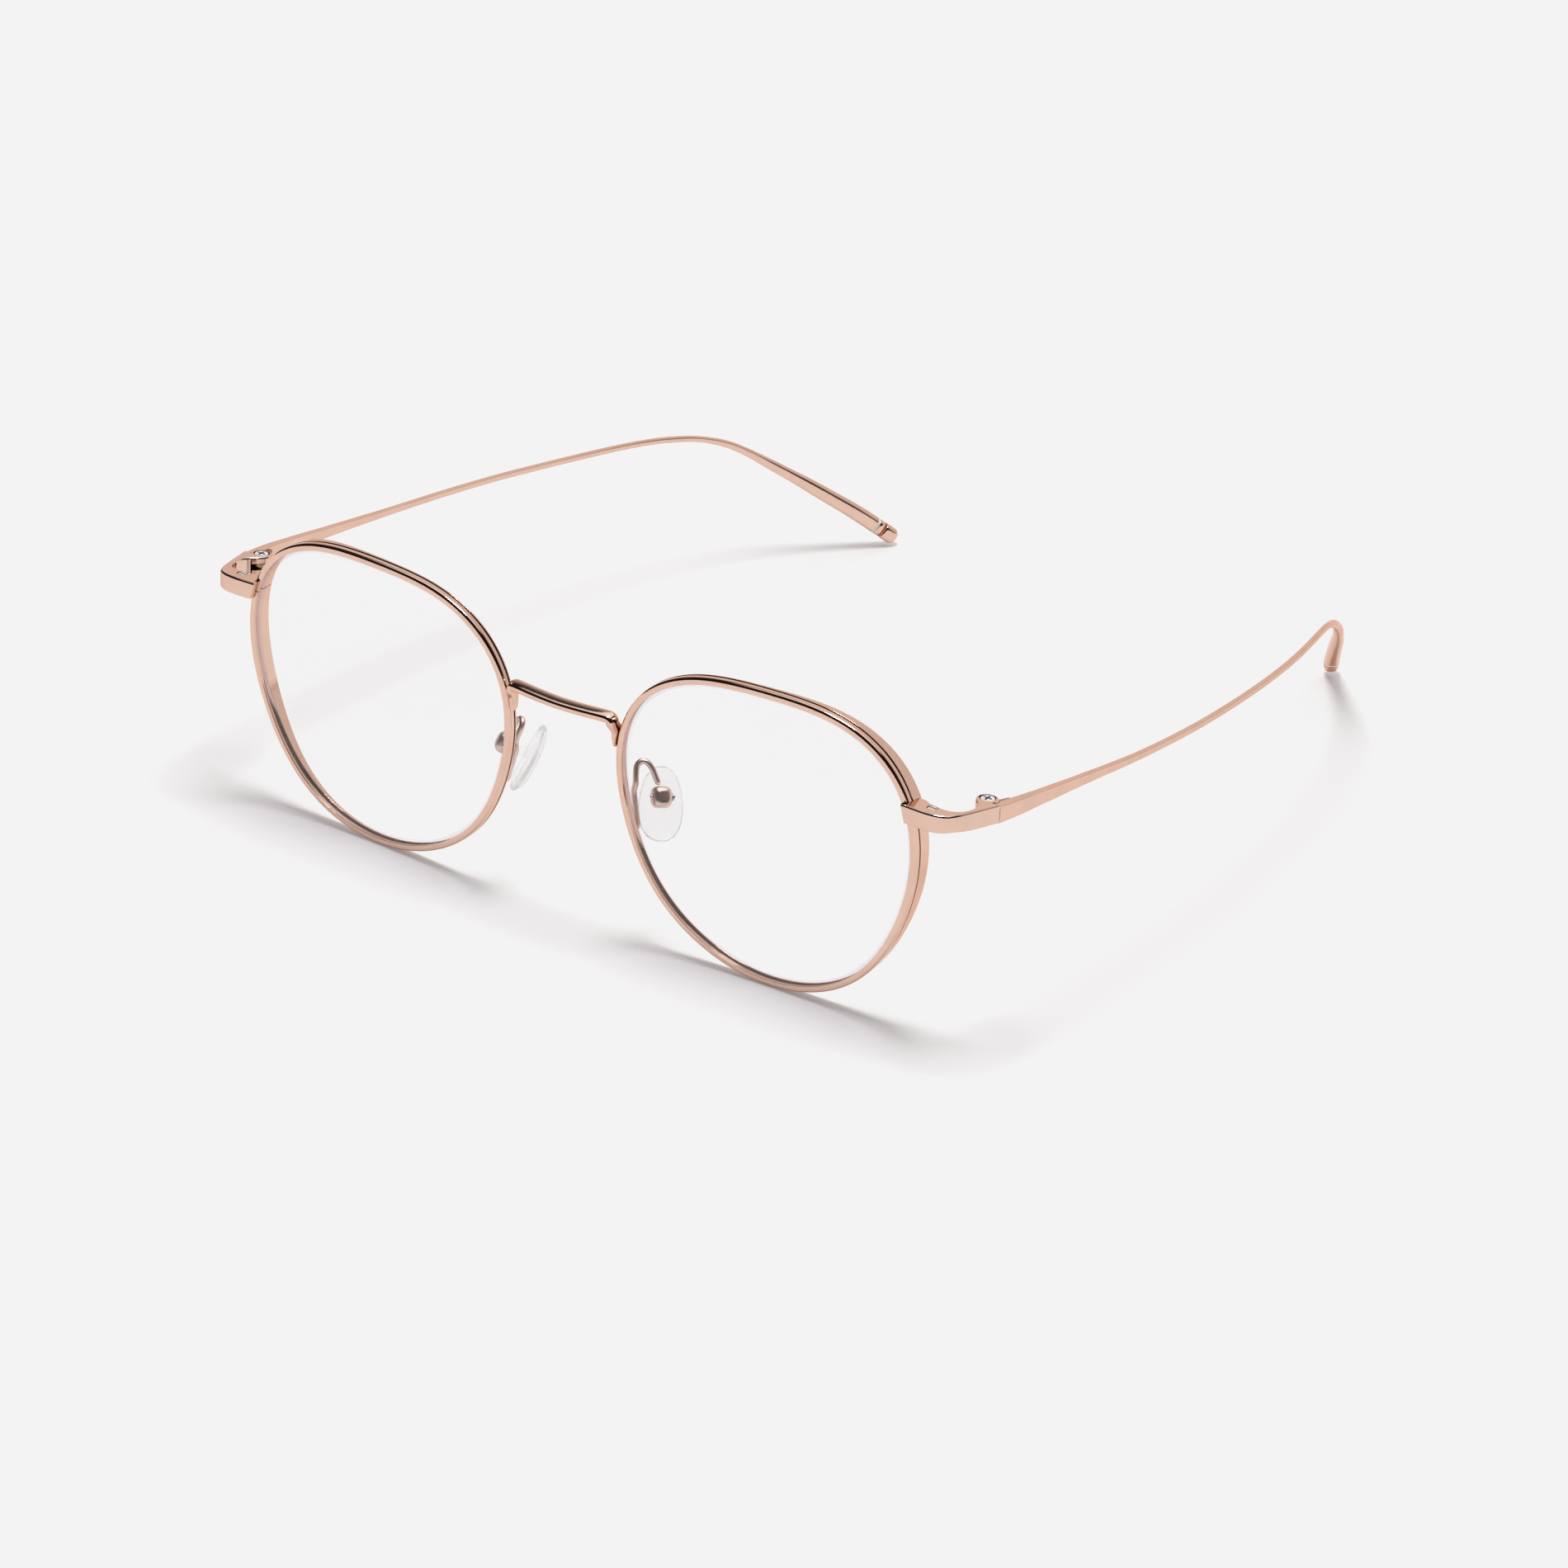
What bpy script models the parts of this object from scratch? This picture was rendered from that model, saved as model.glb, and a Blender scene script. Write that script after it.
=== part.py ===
"""Metal eyeglasses with deep crown-shaped rims, open temples, standing on the rims and temple tips.

The finished model is in metres, +Z up. X = 0 is the symmetry plane, the wearer looks along -Y,
and "left" is the wearer's left (+X). Every part is modelled on the left, in millimetres, and
mirrored for the right; only the bend of the temples differs between the sides.
"""
import math

import bmesh
import bpy
from mathutils import Matrix, Vector

# ---- placing the frame, millimetres ---------------------------------------------
MILLIMETRE = 0.001
STANCE = math.radians(0.41)     # forward lean of the whole pair on the table
STANCE_Y = 5.1                  # line of the rims' contact
ORIGIN_Y = 78.7                 # middle of the footprint

JOINT_GAP = 0.06                # hairline left round brazed joints
CUT_LOW, CUT_HIGH = 30.0, 40.0  # heights well below and above the endpiece, for cutters
ORIGIN = Vector((0, 0, 0))
TURN_ACROSS = Matrix.Rotation(math.radians(90), 4, "Y")    # lays an upright part along X

# From the modelling axes, millimetres, to the model's, metres.
STAND = (Matrix.Scale(MILLIMETRE, 4)
         @ Matrix.Translation((0, -ORIGIN_Y, 0))
         @ Matrix.Translation((0, STANCE_Y, 0))
         @ Matrix.Rotation(STANCE, 4, "X")
         @ Matrix.Translation((0, -STANCE_Y, 0)))
PLACEMENTS = {"left": STAND, "right": STAND @ Matrix.Scale(-1, 4, Vector((1, 0, 0)))}


# ---- curves ---------------------------------------------------------------------
def smoothstep(value):
    value = max(0.0, min(1.0, value))
    return value * value * (3 - 2 * value)


def spline(points, count):
    """Open Catmull-Rom curve through points, count samples at equal parameter steps."""
    spans = len(points) - 1
    row = [points[0] * 2 - points[1], *points, points[-1] * 2 - points[-2]]
    result = []
    for i in range(count):
        position = i * spans / (count - 1)
        k = min(int(position), spans - 1)
        f = position - k
        before, start, end, after = row[k:k + 4]
        result.append(0.5 * (2 * start + (end - before) * f
                             + (2 * before - 5 * start + 4 * end - after) * f * f
                             + (3 * start - before - 3 * end + after) * f ** 3))
    return result


def curve_at(table, station):
    """Softened value from a short table of (station, value)."""
    if station <= table[0][0]:
        return table[0][1]
    for (start, value), (end, next_value) in zip(table, table[1:]):
        if station <= end:
            fraction = (station - start) / (end - start)
            return value + (next_value - value) * 0.5 * (smoothstep(fraction) + fraction)
    return table[-1][1]


def direction_at(path, i):
    """Unit direction of a path at its point i."""
    return (path[min(i + 1, len(path) - 1)] - path[max(i - 1, 0)]).normalized()


def signed_root(value, power):
    """Superellipse coordinate from a sine or cosine."""
    return math.copysign(abs(value) ** (2 / power), value)


def rounded_section(width, height, count, power):
    """Superellipse points, count of them, in (across, up)."""
    points = []
    for i in range(count):
        angle = 2 * math.pi * (i + 0.5) / count
        points.append((0.5 * width * signed_root(math.cos(angle), power),
                       0.5 * height * signed_root(math.sin(angle), power)))
    return points


def section_ring(centre, across, up, section):
    return [centre + across * a + up * b for a, b in section]


def circle(centre, radius, count):
    """Plan outline of a circle."""
    angles = [2 * math.pi * i / count for i in range(count)]
    return [(centre.x + radius * math.cos(a), centre.y + radius * math.sin(a)) for a in angles]


def inset_outline(points, amount):
    """Closed counter-clockwise plan outline moved inwards, with its mitres limited."""
    result = []
    for i, point in enumerate(points):
        before, after = points[i - 1], points[(i + 1) % len(points)]
        arriving = Vector((point[0] - before[0], point[1] - before[1])).normalized()
        leaving = Vector((after[0] - point[0], after[1] - point[1])).normalized()
        mitre = Vector((-arriving.y, arriving.x)) + Vector((-leaving.y, leaving.x))
        mitre = mitre / max(mitre.length_squared, 1e-9) * 2
        if mitre.length > 2.0:
            mitre = mitre.normalized() * 2.0
        result.append((point[0] + mitre.x * amount, point[1] + mitre.y * amount))
    return result


# ---- solids ---------------------------------------------------------------------
def recalculate_normals(mesh):
    bm = bmesh.new()
    bm.from_mesh(mesh)
    bmesh.ops.recalc_face_normals(bm, faces=bm.faces)
    bm.to_mesh(mesh)
    bm.free()


def mesh_object(verts, faces, material=None):
    mesh = bpy.data.meshes.new("part")
    mesh.from_pydata([tuple(v) for v in verts], [], faces)
    recalculate_normals(mesh)
    obj = bpy.data.objects.new("part", mesh)
    bpy.context.scene.collection.objects.link(obj)
    if material:
        mesh.materials.append(material)
    return obj


def skin(ring_count, ring_size, first=0, closed=False):
    """Quads between successive rings; first is the index of the first ring's first vertex."""
    faces = []
    for i in range(ring_count if closed else ring_count - 1):
        here = first + i * ring_size
        there = first + ((i + 1) % ring_count) * ring_size
        for j in range(ring_size):
            k = (j + 1) % ring_size
            faces.append((here + j, here + k, there + k, there + j))
    return faces


def loft(rings, material=None, closed=False):
    """Solid over rings of points: capped, or closed by joining the last ring to the first."""
    size = len(rings[0])
    faces = skin(len(rings), size, closed=closed)
    if not closed:
        faces.append(tuple(range(size)))
        faces.append(tuple((len(rings) - 1) * size + j for j in reversed(range(size))))
    return mesh_object([point for ring in rings for point in ring], faces, material)


def prism(outline, low, high, material=None):
    return loft([[Vector((x, y, z)) for x, y in outline] for z in (low, high)], material)


def cylinder(centre, radius, low, high, material=None, count=20):
    return prism(circle(centre, radius, count), low, high, material)


def block(low, high, material=None):
    x0, y0, z0 = low
    x1, y1, z1 = high
    return prism([(x0, y0), (x1, y0), (x1, y1), (x0, y1)], z0, z1, material)


def tube(path, radius, count, material):
    """Round wire; its frame is carried along the path without twist."""
    side = direction_at(path, 0).cross(Vector((0.3, 1, 0.2))).normalized()
    angles = [2 * math.pi * j / count for j in range(count)]
    rings = []
    for i, point in enumerate(path):
        direction = direction_at(path, i)
        side = (side - direction * side.dot(direction)).normalized()
        top = direction.cross(side)
        rings.append([point + radius * (side * math.cos(a) + top * math.sin(a)) for a in angles])
    return loft(rings, material)


def boolean(obj, other, operation):
    """Applies one Boolean at once and removes the helper."""
    modifier = obj.modifiers.new(operation.lower(), "BOOLEAN")
    modifier.operation = operation
    modifier.solver = "EXACT"
    modifier.object = other
    bpy.context.view_layer.update()
    graph = bpy.context.evaluated_depsgraph_get()
    mesh = bpy.data.meshes.new_from_object(obj.evaluated_get(graph))
    obj.modifiers.clear()
    old_mesh = obj.data
    obj.data = mesh
    bpy.data.meshes.remove(old_mesh)
    bpy.data.objects.remove(other, do_unlink=True)


def cut(obj, cutter):
    boolean(obj, cutter, "DIFFERENCE")


def join(obj, other):
    boolean(obj, other, "UNION")


def placed(obj, matrix):
    obj.data.transform(matrix)
    return obj


# ---- materials ------------------------------------------------------------------
def make_material(name, colour, roughness, metallic, alpha=1.0, transmission=0.0):
    mat = bpy.data.materials.new(name)
    mat.use_nodes = True
    inputs = mat.node_tree.nodes["Principled BSDF"].inputs
    inputs["Base Color"].default_value = (*colour, 1.0)
    inputs["Roughness"].default_value = roughness
    inputs["Metallic"].default_value = metallic
    inputs["Alpha"].default_value = alpha
    inputs["Transmission Weight"].default_value = transmission
    mat.diffuse_color = (*colour, alpha)
    return mat


def make_materials():
    return {
        "rose": make_material("rose_gold", colour=(0.80, 0.50, 0.37), roughness=0.16, metallic=1.0),
        "steel": make_material("steel", colour=(0.72, 0.71, 0.70), roughness=0.22, metallic=1.0),
        "lens": make_material("clear_lens", colour=(0.97, 0.98, 0.98), roughness=0.02,
                              metallic=0.0, alpha=0.25, transmission=1.0),
        "pad": make_material("clear_silicone", colour=(0.93, 0.94, 0.93), roughness=0.12,
                             metallic=0.0, alpha=0.55, transmission=0.9),
        "cream": make_material("cream_inlay", colour=(0.87, 0.80, 0.66), roughness=0.35,
                               metallic=0.0),
        "copper": make_material("copper_red", colour=(0.55, 0.16, 0.07), roughness=0.32,
                                metallic=0.6),
    }


# ---- lens opening ---------------------------------------------------------------
# Angles round the opening start at the temple side and run up over the top.
LENS_CENTRE = Vector((34.99, 3.72, 24.61))   # centre of the opening, front lip plane
WRAP = math.radians(2.23)                    # face-form: the temple side goes back
TILT = math.radians(3.39)                    # the top leans forward
LENS_RADIUS = 23.77                          # mean radius of the opening
# Harmonics (order, cosine, sine); order 3 flattens the top, order 4 fills the corners.
CROWN = ((2, 0.79, -0.01), (3, -0.19, 1.13), (4, -0.50, 0.01), (5, 0.03, 0.03),
         (6, -0.03, -0.03), (7, 0.02, -0.01), (8, 0.01, -0.01))

TILT_TURN = Matrix.Rotation(TILT, 3, "X")
LENS_OUTWARD = TILT_TURN @ Vector((math.cos(WRAP), math.sin(WRAP), 0.0))   # to the temple
LENS_UP = TILT_TURN @ Vector((0, 0, 1))
LENS_FORWARD = TILT_TURN @ Vector((math.sin(WRAP), -math.cos(WRAP), 0.0))


def lens_radius(angle):
    return LENS_RADIUS + sum(cosine * math.cos(order * angle) + sine * math.sin(order * angle)
                             for order, cosine, sine in CROWN)


def opening_point(angle):
    """Point of the opening curve in its own plane, (outward, up)."""
    radius = lens_radius(angle)
    return Vector((radius * math.cos(angle), radius * math.sin(angle)))


def lens_normal(angle):
    """Outward normal of the opening curve, in (outward, up)."""
    step = 1e-4
    along = (opening_point(angle + step) - opening_point(angle - step)).normalized()
    return Vector((along.y, -along.x))


def lens_point(angle, out, back):
    """Point off the opening curve: out along its normal, back from the front lip plane."""
    normal = lens_normal(angle)
    radius = lens_radius(angle)
    outward = radius * math.cos(angle) + normal.x * out
    up = radius * math.sin(angle) + normal.y * out
    return LENS_CENTRE + LENS_OUTWARD * outward + LENS_UP * up - LENS_FORWARD * back


# ---- rim ------------------------------------------------------------------------
RIM_DEPTH_MIN = 1.60                         # front to back, nasal side and bottom
RIM_DEPTH_MAX = 3.60                         # front to back, temple side
DEPTH_CENTRE = math.radians(6.0)             # where the rim is deepest
DEPTH_SPREAD = math.radians(56.0)
DEPTH_FALL = 2.2                             # power of the fall-off
RIM_WALL = 1.05                              # outer face, out from the opening
LIP = 0.40                                   # thickness of the front lip
GROOVE_END = 1.30                            # back wall of the lens groove
GROOVE_MID = 0.5 * (LIP + GROOVE_END)
GROOVE_FLOOR = 0.52                          # out from the opening
GROOVE_FLOOR_HALF = 0.14
STEP_AT = 1.22                               # fine groove on the outer face
STEP_HALF = 0.12
SPLIT_ANGLE = math.radians(24.0)             # where the rim is cut for glazing
SPLIT_GAP = 0.16
RIM_STEPS = 54


def depth_weight(angle):
    """1 where the rim is deepest, falling to 0 on the nasal side."""
    offset = (angle - DEPTH_CENTRE + math.pi) % (2 * math.pi) - math.pi
    return math.exp(-(abs(offset) / DEPTH_SPREAD) ** DEPTH_FALL)


def rim_depth(angle):
    return RIM_DEPTH_MIN + (RIM_DEPTH_MAX - RIM_DEPTH_MIN) * depth_weight(angle)


def rim_profile(angle):
    """(out, back) points round the rim's section."""
    weight, depth, wall = depth_weight(angle), rim_depth(angle), RIM_WALL
    return [
        # front bead
        (0.00, 0.08), (0.08, 0.0), (wall - 0.42, 0.0), (wall - 0.14, 0.12), (wall, 0.45),
        # fine groove on the outer face
        (wall - 0.02, STEP_AT - STEP_HALF), (wall - 0.12, STEP_AT),
        (wall - 0.02, STEP_AT + STEP_HALF),
        # band and back face
        (wall - 0.01, depth - 0.07), (wall - 0.08, depth),
        (0.12 * weight + 0.22, depth), (0.12 * weight + 0.13, depth - 0.08),
        # lens groove
        (0.06, GROOVE_END), (GROOVE_FLOOR, GROOVE_MID + GROOVE_FLOOR_HALF),
        (GROOVE_FLOOR, GROOVE_MID - GROOVE_FLOOR_HALF), (0.0, LIP)]


def make_rim(mats):
    half_gap = 0.5 * SPLIT_GAP / lens_radius(SPLIT_ANGLE)
    rings = []
    for i in range(RIM_STEPS + 1):
        angle = SPLIT_ANGLE + half_gap + (2 * math.pi - 2 * half_gap) * i / RIM_STEPS
        rings.append([lens_point(angle, out, back) for out, back in rim_profile(angle)])
    return loft(rings, mats["rose"])


CUTTER_START = math.radians(-6)              # stretch of rim the cutter covers
CUTTER_SWEEP = math.radians(64)
CUTTER_STEPS = 22
CUTTER_INSIDE = -6.0                         # reach into the opening
CUTTER_BEHIND = 4.0                          # reach behind the rim


def rim_cutter(front):
    """Solid that takes away the rim's own space, and a hairline more; front is its front plane."""
    outside = RIM_WALL + JOINT_GAP
    rings = []
    for i in range(CUTTER_STEPS):
        angle = CUTTER_START + CUTTER_SWEEP * i / (CUTTER_STEPS - 1)
        behind = rim_depth(angle) + CUTTER_BEHIND
        rings.append([lens_point(angle, out, back) for out, back in
                      ((CUTTER_INSIDE, front), (outside, front),
                       (outside, behind), (CUTTER_INSIDE, behind))])
    return loft(rings)


# ---- lens -----------------------------------------------------------------------
LENS_STEPS = 54
LENS_SAG = 0.80                              # bulge of the lens over its edge
LENS_PLAY = 0.07                             # between the lens and each groove wall
DOME_SCALES = (0.5, 0.86)                    # rings of each face, as parts of the radius
LENS_FACE_OUT = -0.10                        # rim of each face, out from the opening
LENS_EDGE_OUT = 0.36                         # ridge of the bevelled edge


def lens_dome_ring(scale, back):
    sag = LENS_SAG * (1 - scale * scale)
    ring = []
    for i in range(LENS_STEPS):
        angle = 2 * math.pi * i / LENS_STEPS
        radius = lens_radius(angle) * scale
        ring.append(LENS_CENTRE + LENS_OUTWARD * radius * math.cos(angle)
                    + LENS_UP * radius * math.sin(angle) - LENS_FORWARD * (back - sag))
    return ring


def lens_edge_ring(out, back):
    return [lens_point(2 * math.pi * i / LENS_STEPS, out, back) for i in range(LENS_STEPS)]


def make_lens(mats):
    """Thin domed plate; its bevelled edge runs in the rim's groove."""
    front, back = LIP + LENS_PLAY, GROOVE_END - LENS_PLAY
    rings = [lens_dome_ring(scale, front) for scale in DOME_SCALES]
    rings += [lens_edge_ring(LENS_FACE_OUT, front), lens_edge_ring(LENS_EDGE_OUT, GROOVE_MID),
              lens_edge_ring(LENS_FACE_OUT, back)]
    rings += [lens_dome_ring(scale, back) for scale in reversed(DOME_SCALES)]
    verts = [point for ring in rings for point in ring]
    faces = skin(len(rings), LENS_STEPS)
    # each face closes in a fan round its own centre
    front_centre, back_centre = len(verts), len(verts) + 1
    verts += [LENS_CENTRE - LENS_FORWARD * (face - LENS_SAG) for face in (front, back)]
    last = (len(rings) - 1) * LENS_STEPS
    for j in range(LENS_STEPS):
        k = (j + 1) % LENS_STEPS
        faces.append((front_centre, k, j))
        faces.append((back_centre, last + j, last + k))
    return mesh_object(verts, faces, mats["lens"])


# ---- endpiece and rim lock ------------------------------------------------------
HINGE = Vector((65.50, 13.72, 0.0))          # hinge axis, runs along Z
LOCK_SCREW = Vector((62.00, 5.00, 0.0))      # rim-lock screw axis, runs along Z
TOP_Z = 36.62                                # top of the endpiece at TOP_Y
TOP_Y = 5.0
TOP_SLOPE = -0.0643                          # its top falls towards the back
ENDPIECE_H = 2.90                            # height of the endpiece at the hinge
WAIST = 0.28                                 # rise of its underside near the front corner
WAIST_Y = 4.7
WAIST_SPREAD = 1.9
BUTT_Y = 12.90                               # end face where the temple rests when open
KNUCKLE_RADIUS = 1.68
KNUCKLE_END = math.radians(212)              # where the hinge lobe meets the inner side
KNUCKLE_STEPS = 14
CHAMFER_TOP, CHAMFER_LOW = 0.22, 0.16

# Plan curves, (x, y): front face, rounded corner and side, ending at the butt face
OUTER_SIDE = ((61.4, 2.76), (63.6, 3.00), (65.15, 3.78), (66.05, 5.25), (66.68, 7.3),
              (67.38, 9.9), (68.12, BUTT_Y))
# ... and the inner side, from the hinge lobe back to the rim.
INNER_SIDE = ((64.65, 11.9), (65.55, 10.9), (66.02, 9.7), (65.98, 8.3), (65.45, 7.0),
              (64.4, 6.15), (62.9, 5.95), (61.2, 6.25), (60.3, 6.7))
SIDE_SAMPLES = 17
RIM_END_FRONT = (57.7, 2.95)
RIM_END_BACK = ((59.6, 7.0), (57.7, 7.0))

LEAF_H = 0.95                                # hinge leaf
SCREW_SHANK, SCREW_HEAD, SCREW_HEAD_H = 0.60, 1.08, 0.42   # hinge screw: radii, head height
LOCK_SHANK, LOCK_HEAD, LOCK_HEAD_H = 0.45, 0.72, 0.36      # lock screw: radii, head height
LEAF_GAP_FIT, LEAF_GAP_PLAY = 0.14, 0.06     # round the knuckle, above and below the leaf
HINGE_HOLE_FIT, HINGE_SINK_FIT, HINGE_SINK_DEPTH = 0.07, 0.08, 0.50
LOCK_HOLE_FIT, LOCK_SINK_FIT, LOCK_SINK_DEPTH = 0.06, 0.06, 0.45
LOCK_HOLE_LOW = 34.0                         # bottom of the hole in the closing block
THREAD_FIT = 0.05

TIP_X = 58.05                                # rim end of the endpiece, at height TOP_Z
TIP_SLANT = 0.30                             # outward run per unit of drop

BLOCK_LOW, BLOCK_HIGH = (56.6, 4.18, 33.62), (63.65, 5.95, 34.92)   # closing block
POCKET_CLEAR, POCKET_FRONT_CLEAR = 0.10, 0.08
POCKET_LOW = (56.0, BLOCK_LOW[1] - POCKET_FRONT_CLEAR, 28.0)
POCKET_HIGH = (BLOCK_HIGH[0] + POCKET_CLEAR, 9.0, BLOCK_HIGH[2] + POCKET_CLEAR)
BLOCK_CUT_FRONT = -3.0                       # the rim cutter's front plane for the block


def top_z(y):
    return TOP_Z + TOP_SLOPE * (y - TOP_Y)


def low_z(y):
    return top_z(y) - ENDPIECE_H + WAIST * math.exp(-((y - WAIST_Y) / WAIST_SPREAD) ** 2)


LEAF_Z = 0.5 * (top_z(HINGE.y) + low_z(HINGE.y))    # middle height of the hinge leaf


def side_curve(points):
    return [tuple(point) for point in spline([Vector(p) for p in points], SIDE_SAMPLES)]


def endpiece_outline():
    """Plan of the endpiece, counter-clockwise."""
    start = math.asin((BUTT_Y - HINGE.y) / KNUCKLE_RADIUS)
    lobe = []
    for i in range(KNUCKLE_STEPS + 1):
        angle = start + (KNUCKLE_END - start) * i / KNUCKLE_STEPS
        lobe.append((HINGE.x + KNUCKLE_RADIUS * math.cos(angle),
                     HINGE.y + KNUCKLE_RADIUS * math.sin(angle)))
    return [RIM_END_FRONT, *side_curve(OUTER_SIDE), *lobe, *side_curve(INNER_SIDE), *RIM_END_BACK]


def plan_ring(outline, height_at, lift=0.0):
    return [Vector((x, y, height_at(y) + lift)) for x, y in outline]


def tip_cutter():
    """Solid with a slanted face, for the end that follows the lens opening."""
    rings = []
    for z in (CUT_LOW, CUT_HIGH):
        end_x = TIP_X + (TOP_Z - z) * TIP_SLANT
        rings.append([Vector((x, y, z)) for x, y in ((50, 0), (end_x, 0), (end_x, 12), (50, 12))])
    return loft(rings)


def make_endpiece(mats):
    outline = endpiece_outline()
    bar = loft([plan_ring(inset_outline(outline, CHAMFER_LOW), low_z),
                plan_ring(outline, low_z, CHAMFER_LOW),
                plan_ring(outline, top_z, -CHAMFER_TOP),
                plan_ring(inset_outline(outline, CHAMFER_TOP), top_z)], mats["rose"])
    # gap between the two lobes, where the hinge leaf turns
    half_gap = 0.5 * LEAF_H + LEAF_GAP_PLAY
    cut(bar, cylinder(HINGE, KNUCKLE_RADIUS + LEAF_GAP_FIT, LEAF_Z - half_gap, LEAF_Z + half_gap,
                      count=28))
    # hinge screw
    cut(bar, cylinder(HINGE, SCREW_SHANK + HINGE_HOLE_FIT, CUT_LOW, CUT_HIGH))
    cut(bar, cylinder(HINGE, SCREW_HEAD + HINGE_SINK_FIT, top_z(HINGE.y) - HINGE_SINK_DEPTH,
                      CUT_HIGH, count=24))
    # seat of the rim, slanted end, and pocket of the closing block, open below and behind
    cut(bar, rim_cutter(-JOINT_GAP))
    cut(bar, tip_cutter())
    cut(bar, block(POCKET_LOW, POCKET_HIGH))
    # rim-lock screw
    cut(bar, cylinder(LOCK_SCREW, LOCK_SHANK + LOCK_HOLE_FIT, LOCK_HOLE_LOW, CUT_HIGH, count=16))
    cut(bar, cylinder(LOCK_SCREW, LOCK_HEAD + LOCK_SINK_FIT,
                      top_z(LOCK_SCREW.y) - LOCK_SINK_DEPTH, CUT_HIGH))
    return bar


def make_closing_block(mats):
    """Lower half of the rim lock, brazed to the lower end of the rim."""
    obj = block(BLOCK_LOW, BLOCK_HIGH, mats["rose"])
    cut(obj, rim_cutter(BLOCK_CUT_FRONT))
    cut(obj, cylinder(LOCK_SCREW, LOCK_SHANK + THREAD_FIT, LOCK_HOLE_LOW, CUT_HIGH, count=16))
    return obj


# ---- hinge and lock screws ------------------------------------------------------
SLOT_DEPTH = 0.26
LOCK_SLOT_HALF, LOCK_SLOT_REACH = 0.12, 0.8     # half width, reach as a part of the head radius
HINGE_SLOT_HALF, HINGE_SLOT_REACH = 0.16, 0.66
LOCK_SCREW_SUNK, HINGE_SCREW_SUNK = 0.05, 0.04  # head below the endpiece's top
LOCK_SCREW_LOW = 34.1
HINGE_SCREW_RAISED = 0.15                       # shank end above the endpiece's underside


def make_screw(material, centre, head_radius, shank_radius, head_height, top, low, slots):
    """Head and shank; slots gives the (x, y) half sizes of each driver slot."""
    screw = cylinder(centre, head_radius, top - head_height, top, material, 24)
    join(screw, cylinder(centre, shank_radius, low, top - 0.5 * head_height, count=16))
    for half_x, half_y in slots:
        cut(screw, block((centre.x - half_x, centre.y - half_y, top - SLOT_DEPTH),
                         (centre.x + half_x, centre.y + half_y, top + 1)))
    return screw


def make_lock_screw(mats):
    """Single-slot screw through the endpiece into the closing block."""
    return make_screw(mats["rose"], LOCK_SCREW, LOCK_HEAD, LOCK_SHANK, LOCK_HEAD_H,
                      top=top_z(LOCK_SCREW.y) - LOCK_SCREW_SUNK, low=LOCK_SCREW_LOW,
                      slots=[(LOCK_HEAD * LOCK_SLOT_REACH, LOCK_SLOT_HALF)])


def make_hinge_screw(mats):
    """Cross-slotted hinge pin."""
    reach = SCREW_HEAD * HINGE_SLOT_REACH
    return make_screw(mats["steel"], HINGE, SCREW_HEAD, SCREW_SHANK, SCREW_HEAD_H,
                      top=top_z(HINGE.y) - HINGE_SCREW_SUNK,
                      low=low_z(HINGE.y) + HINGE_SCREW_RAISED,
                      slots=[(reach, HINGE_SLOT_HALF), (HINGE_SLOT_HALF, reach)])


# ---- bridge ---------------------------------------------------------------------
# Tapered ends that lie along the rim: angle round the opening in degrees, thickness.
BRIDGE_ENDS = ((165.5, 0.42), (163.5, 0.80), (161.0, 1.10))
BRIDGE_END_GAP = JOINT_GAP + 0.03            # between the ends and the rim's outer face
BRIDGE_END_BACK = 0.75                       # behind the front lip plane
BEND_RADIUS = 0.85                           # where each end turns down
BEND_SHIFT = 0.22                            # from the end's upper station to the bend
BEND_Y = 2.20
BEND_TOP_Z = 35.32
BEND_THICKNESS = 1.26
# Left half of the bar, towards the middle: x, y, z, thickness.
BRIDGE_BAR = ((7.0, 1.88, 35.36, 1.25), (4.6, 1.66, 35.30, 1.23), (2.2, 1.52, 35.25, 1.21))
BRIDGE_MIDDLE = (0, 1.46, 35.23, 1.20)
BRIDGE_SAMPLES = 37
BRIDGE_DEPTH, BRIDGE_DEPTH_GAIN = 1.75, 0.50     # front to back at the ends, more in the middle
BRIDGE_DEPTH_RAMP = 1.6                      # how soon the gain is reached


def bridge_half():
    """(point, thickness) stations from the left end nearly to the middle."""
    stations = []
    for degrees, thickness in BRIDGE_ENDS:
        out = RIM_WALL + BRIDGE_END_GAP + 0.5 * thickness
        stations.append((lens_point(math.radians(degrees), out, BRIDGE_END_BACK), thickness))
    bend = Vector((stations[-1][0].x - BEND_SHIFT - BEND_RADIUS, BEND_Y,
                   BEND_TOP_Z - BEND_RADIUS))
    for i in range(4):
        angle = math.radians(30 * i)
        offset = Vector((BEND_RADIUS * math.cos(angle), -0.05 * i, BEND_RADIUS * math.sin(angle)))
        stations.append((bend + offset, BEND_THICKNESS))
    stations += [(Vector((x, y, z)), thickness) for x, y, z, thickness in BRIDGE_BAR]
    return stations


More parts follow.
